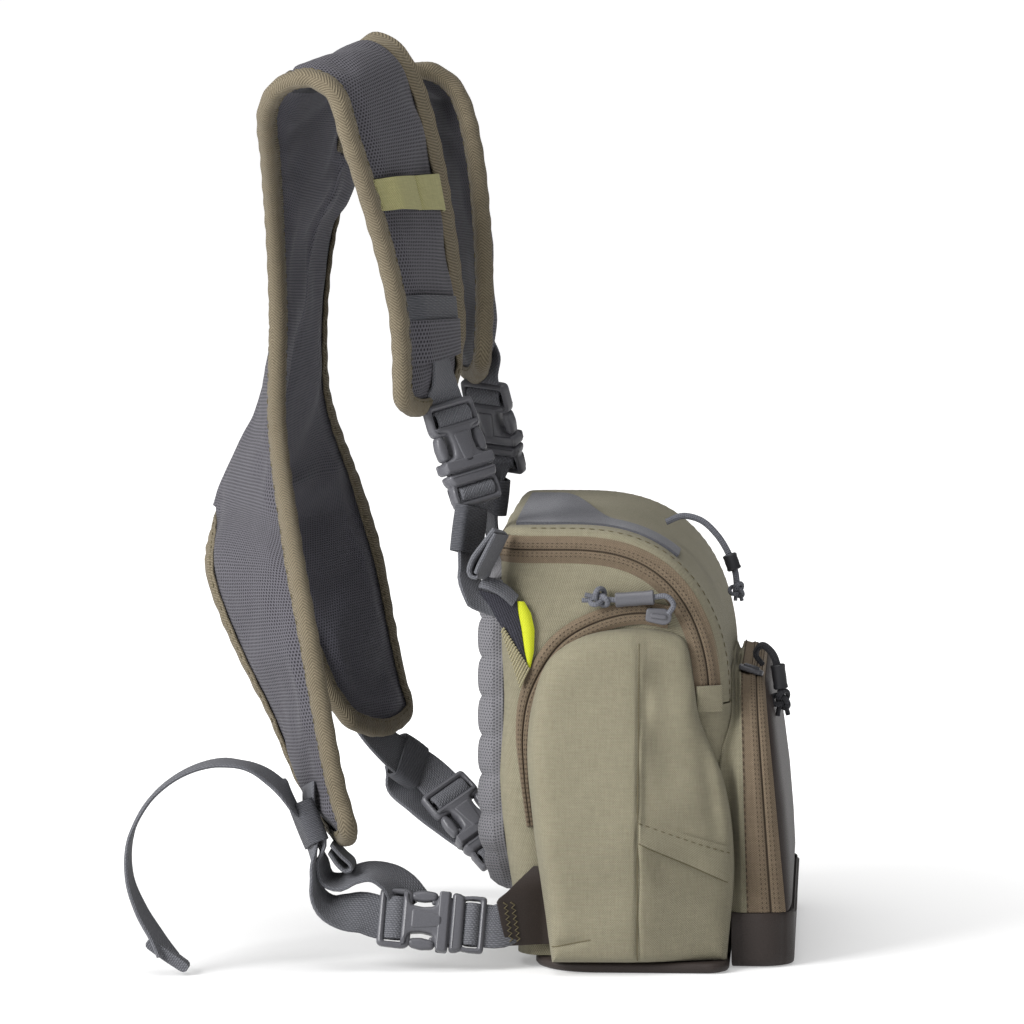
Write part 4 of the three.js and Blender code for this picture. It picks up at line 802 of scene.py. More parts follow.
# Rows of stitches and teeth along lines
def rows_tree():
    """Small beads in rows along lines, each turned to the line and to the surface under it."""
    tree = bpy.data.node_groups.new("rows along lines", "GeometryNodeTree")
    tree.interface.new_socket("Lines", in_out="INPUT", socket_type="NodeSocketGeometry")
    for label, default in (("Spacing", 0.003), ("Length", 0.002), ("Width", 0.0006), ("Height", 0.0004)):
        socket = tree.interface.new_socket(label, in_out="INPUT", socket_type="NodeSocketFloat")
        socket.default_value = default
    tree.interface.new_socket("Finish", in_out="INPUT", socket_type="NodeSocketMaterial")
    tree.interface.new_socket("Beads", in_out="OUTPUT", socket_type="NodeSocketGeometry")
    kinds = {
        "source": "NodeGroupInput", "sink": "NodeGroupOutput", "curve": "GeometryNodeMeshToCurve",
        "spaced": "GeometryNodeResampleCurve", "bead": "GeometryNodeMeshUVSphere",
        "size": "ShaderNodeCombineXYZ", "scaled": "GeometryNodeTransform",
        "tangent": "GeometryNodeInputTangent", "facing": "GeometryNodeInputNamedAttribute",
        "along": "FunctionNodeAlignRotationToVector", "upright": "FunctionNodeAlignRotationToVector",
        "beads": "GeometryNodeInstanceOnPoints", "real": "GeometryNodeRealizeInstances",
        "smooth": "GeometryNodeSetShadeSmooth", "coat": "GeometryNodeSetMaterial",
    }
    nodes = {label: tree.nodes.new(kind) for label, kind in kinds.items()}
    nodes["spaced"].mode = "LENGTH"
    set_inputs(nodes["bead"], {"Segments": 6, "Rings": 4, "Radius": 0.5})
    nodes["facing"].data_type = "FLOAT_VECTOR"
    set_inputs(nodes["facing"], {"Name": "facing"})
    nodes["along"].axis = "X"
    nodes["upright"].axis = "Z"
    nodes["upright"].pivot_axis = "X"
    for start, output, end, entry in (
        ("source", "Lines", "curve", 0), ("curve", 0, "spaced", "Curve"),
        ("source", "Spacing", "spaced", "Length"), ("source", "Length", "size", "X"),
        ("source", "Width", "size", "Y"), ("source", "Height", "size", "Z"),
        ("bead", "Mesh", "scaled", "Geometry"), ("size", 0, "scaled", "Scale"),
        ("tangent", 0, "along", "Vector"), ("along", 0, "upright", "Rotation"),
        ("facing", "Attribute", "upright", "Vector"), ("spaced", 0, "beads", "Points"),
        ("scaled", 0, "beads", "Instance"), ("upright", 0, "beads", "Rotation"), ("beads", 0, "real", 0),
        ("real", 0, "smooth", 0), ("smooth", 0, "coat", "Geometry"), ("source", "Finish", "coat", "Material"),
        ("coat", 0, "sink", 0),
    ):
        tree.links.new(nodes[start].outputs[output], nodes[end].inputs[entry])
    return tree


# Stitches: spacing, length, width and height of a bead, in millimetres
BEAD_SIZES = ("Spacing", "Length", "Width", "Height")
LID_STITCH = (3.4, 2.4, 0.5, 0.4)
ZIP_STITCH = (1.75, 1.0, 0.42, 0.35)
HEM_STITCH = (3.0, 2.1, 0.5, 0.4)
SEAM_STITCH = (1.2, 1.7, 0.5, 0.4)
GUSSET_STITCH = (2.6, 2.0, 0.45, 0.4)
BINDING_STITCH = (3.3, 2.3, 0.6, 0.45)
ROWS = rows_tree()
ROW_INPUTS = {item.name: item.identifier for item in ROWS.interface.items_tree if item.in_out == "INPUT"}


def rows_along(name, lines, bead, coat):
    """Beads along lines of (points, facings), in millimetres, as one plain mesh."""
    points, edges, facings = [], [], []
    for line, facing in lines:
        start = len(points)
        points.extend(in_metres(line).tolist())
        facings.extend(np.broadcast_to(facing, np.shape(line)).tolist())
        edges.extend((start + k, start + k + 1) for k in range(len(line) - 1))
    mesh = bpy.data.meshes.new(name)
    mesh.from_pydata(points, edges, [])
    attribute = mesh.attributes.new("facing", "FLOAT_VECTOR", "POINT")
    attribute.data.foreach_set("vector", np.asarray(facings, np.float32).ravel())
    source = shown(bpy.data.objects.new(name + "_lines", mesh))
    modifier = source.modifiers.new("rows", "NODES")
    modifier.node_group = ROWS
    for label, value in zip(BEAD_SIZES, bead):
        modifier[ROW_INPUTS[label]] = value * MILLIMETRE
    modifier[ROW_INPUTS["Finish"]] = coat
    graph = bpy.context.evaluated_depsgraph_get()
    made = bpy.data.meshes.new_from_object(source.evaluated_get(graph))
    bpy.data.objects.remove(source)
    made.name = name
    return settled(bpy.data.objects.new(name, made), ())


# Bag: side profile of the lid and plan of the walls
def lid_profile():
    start = math.pi - math.asin(1 - LID["flange"] / LID["radius"])
    angle = np.linspace(start, math.pi / 2, 9)
    back = np.stack([
        BAG["back"] + LID["radius"] * (1 + np.cos(angle)),
        BAG["top"] - LID["radius"] * (1 - np.sin(angle)),
    ], axis=1)
    flat_x = np.linspace(BAG["back"] + LID["radius"], LID["bend"], 9)[1:]
    flat = np.stack([flat_x, np.full(len(flat_x), BAG["top"])], axis=1)
    turn = np.linspace(0, math.pi / 2, 61)[1:]
    along = np.sin(turn) ** (2 / LID["along"])
    down = np.maximum(0, np.cos(turn)) ** (2 / LID["down"])
    bend = np.stack([mix(LID["bend"], BAG["front"], along), mix(LID["end"], BAG["top"], down)], axis=1)
    line = np.vstack([back, flat, bend])
    shares = np.interp(np.linspace(0, 1, 110), run_of(line) / run_of(line)[-1], np.arange(len(line)))
    line = np.stack([np.interp(shares, np.arange(len(line)), line[:, k]) for k in (0, 1)], axis=1)
    slope = tangents(line)
    normal = np.stack([-slope[:, 1], slope[:, 0]], axis=1)
    normal[-1] = (1, 0)
    return line, normal


PROFILE, PROFILE_NORMAL = lid_profile()
SIDE_PROFILE = PROFILE[:, 0] >= BAG["back"] + BAG["radius"] - 0.01


def inward(depth):
    """The lid's side profile, moved in by a depth."""
    return PROFILE - PROFILE_NORMAL * np.asarray(depth).reshape(-1, 1)


def plan_half(x):
    """Half width of the bag at a distance from the wearer."""
    into_back = np.maximum(0, BAG["back"] + BAG["radius"] - x)
    into_front = np.maximum(0, x - (BAG["front"] - BEND))
    behind = BAG["half"] - BAG["radius"] + np.sqrt(np.maximum(0, BAG["radius"] ** 2 - into_back**2))
    before = BAG["half"] - BEND + np.sqrt(np.maximum(0, BEND**2 - into_front**2))
    return np.where(into_back > 0, behind, before)


def plan_front(y):
    """Front face of the bag at a distance from its middle."""
    corner = np.maximum(0, np.abs(y) - (BAG["half"] - BEND))
    return BAG["front"] - BEND + np.sqrt(np.maximum(0, BEND**2 - corner**2))


def at_level(plan, z):
    """Points of a plan at one height."""
    return np.column_stack([plan, np.full(len(plan), z)])


def arc(middle_x, middle_y, radius, start, end, steps):
    angle = np.radians(np.linspace(start, end, steps + 1))
    return np.stack([middle_x + radius * np.cos(angle), middle_y + radius * np.sin(angle)], axis=1)


def back_corner(start, end, steps):
    """Plan of the round back corner."""
    return arc(BAG["back"] + BAG["radius"], BAG["half"] - BAG["radius"], BAG["radius"], start, end, steps)


def make_lid():
    """Top sheet over the profile, with its long edges turned down to the zip."""
    flange = LID["flange"] * (1 - 0.5 * np.maximum(0, -PROFILE_NORMAL[:, 0]))
    edge = inward(flange)
    edge_y = plan_half(edge[:, 0])
    radius = LID["flange"] + 0.4 + (BEND - LID["flange"]) * np.maximum(0, PROFILE_NORMAL[:, 0]) ** 2
    turn = np.arccos(1 - flange / radius)
    flat_y = edge_y - radius * np.sin(turn)
    crown = LID["crown"] * np.maximum(0, PROFILE_NORMAL[:, 1]) ** 2
    columns = []
    for share in np.linspace(1, 0, 7):
        columns.append((-flat_y - radius * np.sin(turn * share), radius * (1 - np.cos(turn * share))))
    for share in np.linspace(-1, 1, 31)[1:-1]:
        columns.append((flat_y * share, -crown * (1 - share**2)))
    for share in np.linspace(0, 1, 7):
        columns.append((flat_y + radius * np.sin(turn * share), radius * (1 - np.cos(turn * share))))
    rows = []
    for y, depth in columns:
        at = inward(depth)
        rows.append(np.stack([at[:, 0], y, at[:, 1]], axis=1))
    grid = np.stack(rows, axis=1)
    normals = normals_of(grid, BAG_MIDDLE)
    free = np.minimum(1, np.abs(np.abs(grid[:, :, 1]) - BAG["half"]) / 14)[:, :, None]
    grid = grid + normals * free * 0.4 * unevenness(grid, 60, 3)[:, :, None]
    walled("lid_top", grid, CLOTH, BAG_MIDDLE, OLIVE, ("lid",))
    seams = []
    for column in (4, -5):
        facing = normals[SIDE_PROFILE, column]
        seams.append((grid[SIDE_PROFILE, column] + facing * 0.15, facing))
    rows_along("lid_stitches", seams, LID_STITCH, OLIVE_THREAD)


# Zips: two tape halves that meet at a dark split, each with sewn ridges
ZIP_STEPS = np.array([0.12, 0.3, 0.6, 1.2, 2, 2.7, 3.0, 3.5])
ZIP_RIM = 0.5
ZIP_SPLIT = 0.28
ZIP_ROWS = (1.15, 2.35)


def zip_band(name, first, second, away, nodes, split=0.5):
    across = np.linalg.norm(second - first, axis=1)
    width = float(np.median(across))
    centre = split * width
    rims = [0, ZIP_RIM, width - ZIP_RIM, width]
    places = np.unique(np.concatenate([rims, centre - ZIP_STEPS, centre + ZIP_STEPS]).clip(0, width))
    offset = places - centre
    height = 0.25 + 0.55 * (1 - ease(2.5, 3.4, np.abs(offset))) - 0.85 * bump(offset, 0.3)
    height = height - 0.35 * (bump(places, 0.4) + bump(places - width, 0.4))
    grid = between(first, second, (places / width)[:, None])
    normals = normals_of(grid, away)
    outer = grid + normals * height[None, :, None]
    inner = grid - normals * ZIP_RIM
    uv = np.stack(np.meshgrid(places, run_of(grid[:, len(places) // 2])), axis=2)
    piece = Piece()
    piece.shell(outer, inner, uv)
    dark = np.abs((offset[1:] + offset[:-1]) / 2) < ZIP_SPLIT
    kinds = np.tile(dark.astype(int), len(grid) - 1)
    piece.kinds[: len(kinds)] = kinds.tolist()
    finished(piece, name, [ZIPPER, BROWN_THREAD], nodes)
    lines = []
    facing = normals[:, len(places) // 2]
    for place in ZIP_ROWS:
        for sign in (-1, 1):
            line = mix(first, second, (centre + sign * place) / width)
            lines.append((line + facing * 0.78, facing))
    rows_along(name + "_stitches", lines, ZIP_STITCH, BROWN_THREAD)


def make_lid_zip():
    """Zip round three sides of the lid, with a cloth tab over each of its ends."""
    low, high = LID["flange"] + SEAM, LID["flange"] + SEAM + ZIP["width"]
    edges = []
    for depth in (low - 1.2, high + 0.4):
        at = inward(depth)[SIDE_PROFILE]
        side = np.stack([at[:, 0], plan_half(at[:, 0]), at[:, 1]], axis=1)[::-1]
        corner = back_corner(90, 180, 12)[1:]
        level = np.stack([np.full(12, BAG["back"]), np.linspace(66, 0, 12)], axis=1)
        around = np.vstack([corner, level])
        back = at_level(around, BAG["top"] - depth)
        half = np.vstack([side, back])
        edges.append(np.vstack([half, half[-2::-1] * (1, -1, 1)]))
    zip_band("lid_zip_tape", edges[0], edges[1], BAG_MIDDLE, ("lid_zip",))
    tab = Piece()
    for side in (-1, 1):
        place = edges[0][0] * (1, side, 1), edges[1][0] * (1, side, 1)
        ahead = (edges[0][3] + edges[1][3]) / 2 * (1, side, 1)
        down = unit((place[0] + place[1]) / 2 - ahead)
        across = unit(place[1] - place[0])
        facing = unit(np.cross(across, down))
        facing = facing * np.sign(facing[1] * side)
        middle = (place[0] + place[1]) / 2 + facing * 1.2
        line = middle + np.linspace(-6.5, 3.0, 9)[:, None] * down
        tab.sweep(line, across, band_section(10.5, 1.6, 0.3), facing)
    finished(tab, "zip_end_tabs", [OLIVE], ())


def drawn_in(z):
    """How far the lower back of the bag is drawn forwards."""
    return 6.5 * (1 - ease(8, 54, z))


def make_body():
    """Walls of the main compartment up to the zip line, with slack cloth, and the floor."""
    at = inward(BEND)[SIDE_PROFILE]
    corner_x = BAG["front"] - BEND
    front_rim = LID["end"] - 2 * GAP
    back_rim = BAG["top"] - BEND
    along = np.minimum(at[:, 0], corner_x)
    side = np.column_stack([along, np.full(len(at), BAG["half"]), np.minimum(at[:, 1], back_rim)])
    side[-1, 2] = front_rim
    front = arc(corner_x, BAG["half"] - BEND, BEND, 90, 0, 10)[1:]
    front = at_level(front, front_rim)
    face = np.column_stack([np.full(8, BAG["front"]), np.linspace(62, 0, 8), np.full(8, front_rim)])
    back = back_corner(180, 90, 10)
    back = at_level(back, back_rim)
    rear = np.column_stack([np.full(8, BAG["back"]), np.linspace(0, 64, 8), np.full(8, back_rim)])
    half = np.vstack([rear, back, side[1:], front, face])
    ring = np.vstack([half, half[-2::-1] * (1, -1, 1)])
    levels = np.linspace(1, 0, 48)
    rows = []
    for level in levels:
        row = ring.copy()
        row[:, 2] = mix(BAG["floor"], ring[:, 2], level)
        rows.append(row)
    grid = np.stack(rows)
    normals = normals_of(grid, BAG_MIDDLE, True)
    grid[:, :, 0] += drawn_in(grid[:, :, 2]) * ease(20, 45, BAG_MIDDLE[0] - grid[:, :, 0])
    slack = np.sin(math.pi * levels)[:, None, None] ** 0.6
    grid = grid + normals * slack * 0.8 * unevenness(grid, 55, 8)[:, :, None]
    piece = Piece()
    piece.wall(grid, CLOTH, BAG_MIDDLE, None, True)
    floor = grid[-1, :-1]
    inset = floor * (0.955, 0.974, 1) + (BAG_MIDDLE[0] * 0.045, 0, 0)
    rims = []
    for lift in (GAP, GAP + CLOTH):
        piece.cap(inset + (0, 0, lift))
        rims.append(np.vstack([inset, inset[:1]]) + (0, 0, lift))
    piece.patch(np.stack(rims))
    finished(piece, "body_walls", [OLIVE], ("main_body", "body_floor"))


# Side pockets
POCKET_OUTLINE = [
    (-29.5, 3.4), (-33.5, 30), (-36.8, 55), (-38.8, 80), (-37, 97), (-31, 113), (-19, 121.5), (-1, 124.5),
    (12, 123.4), (18, 120.5), (21.5, 106), (23.8, 92), (33, 68), (36.5, 40), (34, 3.4),
]
POCKET_MIDDLE = np.array([2.0, 58.0])
POCKET_SEAT = BAG["half"] + SEAM
HEM = {"x": 3.0, "z": 57.0, "fall": 11.0, "drop": 8.0}
ARCH = [
    (-37.6, 52), (-39.6, 69), (-40.2, 87.5), (-37.2, 102), (-26.5, 119), (-12.4, 127.2), (2.2, 130.2),
    (12.8, 128.6),
]


def pocket_fullness(x, z):
    """How far the pocket stands out, with its seam, its standing fold and slack folds."""
    depth = mix(21.0, 9.0, ease(42, 118, z)) * (1 - 0.72 * np.clip((x - 2) / 36, 0, 1))
    groove = 1.0 * bump(x - 2, 0.9) + 0.4 * bump(x - 2, 4)
    setback = 1.8 * ease(1.6, 5.0, x) * (1 - ease(26, 40, x)) * ease(46, 58, z)
    fold_x = 24 - 0.1 * (100 - z)
    fold = 0.5 * bump(x - fold_x, 6.0) * ease(45, 70, z)
    valley = 0.6 * bump(x - (11 + 0.05 * (100 - z)), 4.5) * ease(58, 80, z) * (1 - ease(108, 122, z))
    crease = 1.1 * bump(x - 29 + 0.14 * (z - 60), 3.2) * ease(40, 52, z) * (1 - ease(72, 90, z))
    ahead = ease(3, 9, x) * (1 - ease(24, 34, x))
    ridge = 1.8 * bump(z - (98 - 0.16 * (x - 2)), 5.0) - 1.5 * bump(z - (86 - 0.3 * x), 6.0)
    ridge = ridge - 1.3 * bump(z - (110 - 0.2 * x), 5.0)
    slope = -1.4 * bump((z - 38) + 0.42 * (x - 10), 7) * ease(4, 12, x)
    dart = 0.9 * bump(z - 11 - 0.21 * (x + 28), 1.3) * (1 - ease(-20, -13, x))
    return depth - groove - setback + fold - valley - crease + ridge * ahead + slope - dart


def pocket_rise(scale, z):
    """Share of the fullness near the rim, with a tighter turn along the foot."""
    return np.sqrt(np.maximum(0, 1 - scale ** mix(40.0, 14.0, ease(8, 22, z))))


def pocket_ring(count):
    line = even_line([(x, 0, z) for x, z in POCKET_OUTLINE], 1.6)[:, [0, 2]]
    foot = np.stack([np.linspace(34, -29.5, 36)[1:-1], np.full(34, 3.4)], axis=1)
    ring = np.vstack([line, foot, line[:1]])
    run = run_of(ring)
    places = np.linspace(0, run[-1], count)
    return np.stack([np.interp(places, run, ring[:, k]) for k in (0, 1)], axis=1)


def pocket_grid(side, count=300, rows=84):
    ring = pocket_ring(count)
    scales = 1 - np.linspace(0, 1, rows) ** 1.8
    reach = POCKET_MIDDLE + (ring - POCKET_MIDDLE)[None] * scales[:, None, None]
    x, z = reach[..., 0], reach[..., 1]
    rise = pocket_rise(scales[:, None], z)
    spots = np.stack([x, np.full_like(x, 85.0), z], axis=2)
    height = pocket_fullness(x, z) * rise + 0.45 * rise * unevenness(spots, 34, 21)
    grid = np.stack([x, side * (POCKET_SEAT + height), z], axis=2)
    radial = np.linalg.norm(np.diff(grid[::-1], axis=0), axis=2)
    length = np.concatenate([np.zeros((1, count)), np.cumsum(radial, axis=0)])[::-1]
    direction = unit(ring - POCKET_MIDDLE)
    uv = POCKET_MIDDLE + direction[None] * length[:, :, None]
    return grid, uv


def pocket_height(x, z):
    """Stand of the pocket at single points, from its outline and fullness."""
    ring = pocket_ring(400) - POCKET_MIDDLE
    angles = np.arctan2(ring[:, 1], ring[:, 0])
    reaches = np.linalg.norm(ring, axis=1)
    order = np.argsort(angles)
    offset = np.stack([x, z], axis=-1) - POCKET_MIDDLE
    turn = np.arctan2(offset[..., 1], offset[..., 0])
    limit = np.interp(turn, angles[order], reaches[order], period=2 * math.pi)
    scale = np.clip(np.linalg.norm(offset, axis=-1) / limit, 0, 1)
    return pocket_fullness(x, z) * pocket_rise(scale, z)


def make_side_pocket(label, side):
    """One side pocket, with its hem, seams and arched zip."""
    grid, uv = pocket_grid(side)
    inside = np.array([2.0, side * 80.0, 58.0])
    walled(f"pocket_{label}", grid, CLOTH, inside, OLIVE, (f"side_pocket_{label}",), uv, True)
    flap = make_hem(label, side, inside)
    make_seams_and_hem_shadow(label, side, flap, normals_of(flap, inside))
    make_side_zip(label, side)


def make_hem(label, side, inside):
    """Sloping hem across the front of a pocket, and the grid it is made on."""
    across = np.linspace(0, 1, 40)
    down = np.linspace(0, 1, 17)
    front = np.array(POCKET_OUTLINE[8:])
    z = HEM["z"] - HEM["fall"] * across[None] - HEM["drop"] * down[:, None] * (1 + 0.58 * across[None])
    edge = np.interp(-z, -front[:, 1], front[:, 0]) - 1.6
    x = mix(HEM["x"], edge, across[None])
    lift = 0.35 + 3.0 * ease(0, 0.95, down)[:, None] + 0.35 * np.sin(across * 9)[None] * down[:, None]
    y = side * (POCKET_SEAT + pocket_height(x, z) + lift + 0.35)
    flap = np.stack([x, y, z], axis=2)
    walled(f"hem_{label}", flap, 0.9, inside, OLIVE, (f"pocket_flap_{label}",))
    return flap


def make_seams_and_hem_shadow(label, side, flap, normals):
    """Stitches on the hem, along the upright seam and along the small dart, and a dark line of beads under
    the hem's edge that is painted shadow.
    """
    rows = [(flap[3] + normals[3] * 0.1, normals[3])]
    rows_along(f"hem_stitches_{label}", rows, HEM_STITCH, OLIVE_THREAD)

    def on_pocket(x, z, stand):
        return np.stack([x, side * (POCKET_SEAT + pocket_height(x, z) + stand), z], axis=1)

    outwards = np.array([0.0, side, 0.0])
    upright = np.linspace(6, 119, 110)
    dart = np.linspace(-28.6, -15.5, 20)
    # A dark line of thread beads just under the hem's edge: painted shadow of the hem
    hem_shadow_line = flap[-1] - normals[-1] * 0.5 - (0, 0, 0.3)
    lines = [
        (on_pocket(np.full(len(upright), 2.0), upright, 0.25), outwards),
        (on_pocket(dart, 10.6 + 0.21 * (dart + 28.6), 0.35), outwards),
        (hem_shadow_line, normals[-1]),
    ]
    rows_along(f"pocket_seams_{label}", lines, SEAM_STITCH, OLIVE_THREAD)


def make_side_zip(label, side):
    """Zip round the top of a pocket, narrow at its back end."""
    line = even_line([(x, 0, z) for x, z in ARCH], 2.0)
    tangent = tangents(line)
    out = np.stack([-tangent[:, 2], np.zeros(len(line)), tangent[:, 0]], axis=1)
    half = mix(1.5, ZIP["arch"] / 2 + 0.4, ease(56, 116, line[:, 2]))[:, None]
    edges = []
    for sign in (1, -1):
        edge = line + out * half * sign
        edge[:, 1] = side * (plan_half(edge[:, 0]) + SEAM + 0.5)
        edges.append(edge)
    away = edges[0].mean(axis=0) * (1, 0.5, 1)
    zip_band(f"side_zip_tape_{label}", edges[0], edges[1], away, (f"side_zip_{label}",))


make_lid()
make_lid_zip()
make_body()
for pocket_label, pocket_side in SIDES:
    make_side_pocket(pocket_label, pocket_side)


# Front pocket: gusset, zip, moulded panel and boot
FRONT = {"half": 82.0, "top": 106.0, "shoulder": 36.0, "boot": 20.0, "lean": 2.6}
FRONT_INSIDE = np.array([35.0, 0.0, 50.0])
PANEL_FACE = [(20, 58), (40, 57), (58, 55.5), (77, 53), (92, 51), (108, 48.8)]
PANEL_MIDDLE = np.array([0.0, 55.0])
BOOT = {"front": 58.5, "half": 83.0, "radius": 13.0}
BOOT_LEVELS = [
    (20.0, 0.955), (20.4, 0.975), (20.0, 0.995), (19.0, 1.0), (16.0, 1.0), (12.0, 1.0), (8.0, 1.0),
    (4.0, 1.0), (2.2, 0.995), (0.8, 0.98), (0.1, 0.95), (0.0, 0.5), (0.0, 0.0),
]
BOOT_INSIDE = np.array([47.0, 0.0, 12.0])
SOLE = {"back": -36.0, "half": 98.0, "radius": 22.0, "front": BAG["front"]}
SOLE_LEVELS = [
    (4.0, 30.0), (4.0, 1.4), (3.7, 0.5), (2.8, 0.0), (1.6, 0.0), (0.6, 0.7), (0.0, 2.2), (0.0, 30.0),
]
QUILT = {"back": -57.0, "half": 76.0, "low": 26.0, "high": 141.0, "ribs": 8, "ripple": 0.75, "rows": 12,
         "columns": 61, "spare": 0.06, "cap": 1.2}


def front_arch(low):
    """Arch of the front pocket: y, z and the outward direction of each point."""
    up = np.linspace(low, FRONT["top"] - FRONT["shoulder"], 36)[:-1]
    angle = np.linspace(math.pi, math.pi / 2, 25)
    rows = [(-FRONT["half"], z, -1.0, 0.0) for z in up]
    for turn in angle:
        ny, nz = math.cos(turn), math.sin(turn)
        y = -FRONT["half"] + FRONT["shoulder"] * (1 + ny)
        rows.append((y, FRONT["top"] - FRONT["shoulder"] * (1 - nz), ny, nz))
    for y in np.linspace(-FRONT["half"] + FRONT["shoulder"], 0, 20)[1:]:
        rows.append((y, FRONT["top"], 0.0, 1.0))
    half = np.array(rows)
    return np.vstack([half, half[-2::-1] * (-1, 1, -1, 1)])


def tape_share(z):
    return (z - FRONT["boot"]) / (FRONT["top"] - FRONT["boot"])


def tape_back(z):
    return mix(41.0, 38.2, tape_share(z))


def tape_front(z):
    return tape_back(z) + mix(14.0, 8.5, tape_share(z))


def make_gusset(arch):
    """Slack cloth between the body and the front zip, tucked in at its middle."""
    y, z, ny, nz = arch.T
    back_x = plan_front(np.maximum(0, np.abs(y) - CLOTH)) + 0.4
    front_x = tape_back(z) + 0.2
    shares = np.linspace(0, 1, 22)
    x = between(back_x, front_x, shares)
    run = run_of(arch[:, :2])[:, None]
    tuck = -3.4 * np.sin(math.pi * np.clip(shares * 1.25, 0, 1))[None] ** 1.2
    ripple = np.sin(run / 9.5 + 4 * shares[None]) * 0.9 + np.sin(run / 5.3 + 1.3) * 0.35
    ripple = ripple * np.sin(math.pi * shares)[None]
    offset = tuck * (0.75 + 0.25 * np.sin(run / 21.0)) + ripple
    gusset = np.stack([x, y[:, None] + ny[:, None] * offset, z[:, None] + nz[:, None] * offset], axis=2)
    walled("gusset", gusset, 1.2, FRONT_INSIDE, OLIVE, ("front_gusset",))


def make_front_zip(arch):
    y, z, ny, nz = arch.T
    lean = FRONT["lean"]
    first = np.stack([tape_back(z), y, z], axis=1)
    second = np.stack([tape_front(z) + 0.4, y - ny * lean, z - nz * lean], axis=1)
    zip_band("front_zip_tape", first, second, FRONT_INSIDE, ("front_zip",), 0.62)
    outwards = np.stack([np.zeros_like(ny), ny, nz], axis=1)
    edge = [(first + outwards * 0.3 + (0.5, 0, 0), outwards)]
    rows_along("gusset_stitches", edge, GUSSET_STITCH, BROWN_THREAD)


def make_shield(arch, low):
    """Moulded panel inside the zip, with a rounded rim."""
    y, z, ny, nz = arch.T
    inset = FRONT["lean"] + 0.6
    ring = np.stack([y - ny * inset, z - nz * inset], axis=1)
    foot = np.stack([np.linspace(ring[-1, 0], ring[0, 0], 60)[1:-1], np.full(58, low)], axis=1)
    ring = np.vstack([ring, foot, ring[:1]])
    scales = 1 - np.linspace(0, 1, 44) ** 1.9
    reach = PANEL_MIDDLE + (ring - PANEL_MIDDLE)[None] * scales[:, None, None]
    rise = np.sqrt(np.maximum(0, 1 - scales**15))[:, None]
    edge_x = tape_front(reach[..., 1]) + 0.2
    x = mix(edge_x, read_table(PANEL_FACE, reach[..., 1])[0], rise)
    grid = np.stack([x, reach[..., 0], reach[..., 1]], axis=2)
    walled("front_shield", grid, 2.0, FRONT_INSIDE, BROWN, ("front_panel",), reach, True)


def make_boot():
    """Moulded foot of the front pocket."""
    front, half, radius = BOOT["front"], BOOT["half"], BOOT["radius"]
    back = BAG["front"] + 2 * GAP
    side = np.stack([np.linspace(back, front - radius, 14)[:-1], np.full(13, half)], axis=1)
    corner = arc(front - radius, half - radius, radius, 90, 0, 18)
    face = np.stack([np.full(14, front), np.linspace(half - radius, 0, 15)[1:]], axis=1)
    rear = np.stack([np.full(20, back), np.linspace(0, half, 21)[:-1]], axis=1)
    plan = np.vstack([rear, side, corner, face])
    plan = np.vstack([plan, plan[-2::-1] * (1, -1)])
    plan_middle = np.array([(back + front) / 2, 0.0])
    rows = []
    for level, scale in BOOT_LEVELS:
        spread = plan_middle + (plan - plan_middle) * scale
        rows.append(at_level(spread, level))
    grid = np.stack(rows)
    groove = bump(grid[:, :, 0] - 54.6, 0.5) * (np.abs(grid[:, :, 1]) > 70) * (grid[:, :, 2] > 1)
    grid[:, :, 1] -= np.sign(grid[:, :, 1]) * 0.5 * groove
    walled("boot", grid, 1.4, BOOT_INSIDE, BROWN, ("front_boot",), None, True)


def make_front_pocket():
    low = FRONT["boot"] + GAP
    arch = front_arch(low)
    make_gusset(arch)
    make_front_zip(arch)
    make_shield(arch, low)
    make_boot()


def make_base():
    """Sole under the body and the side pockets, with a rolled edge."""
    back, half, radius, front = (SOLE[key] for key in ("back", "half", "radius", "front"))
    small = radius / 3
    corners = (
        (front - small, half - small, small, 0), (back + radius, half - radius, radius, 90),
        (back + radius, -half + radius, radius, 180), (front - small, -half + small, small, 270),
    )
    plan = np.vstack([arc(x, y, r, start, start + 90, 12) for x, y, r, start in corners])
    plan = np.vstack([plan, plan[:1]])
    middle = np.array([(back + front) / 2, 0.0])
    rows = []
    for level, inset in SOLE_LEVELS:
        scale = np.array([1 - inset / (front - middle[0]), 1 - inset / half])
        rows.append(at_level(middle + (plan - middle) * scale, level))
    piece = Piece()
    piece.patch(np.stack(rows))
    piece.cap(rows[0][:-1])
    piece.cap(rows[-1][:-1])
    finished(piece, "sole", [BROWN], ("base_panel",))


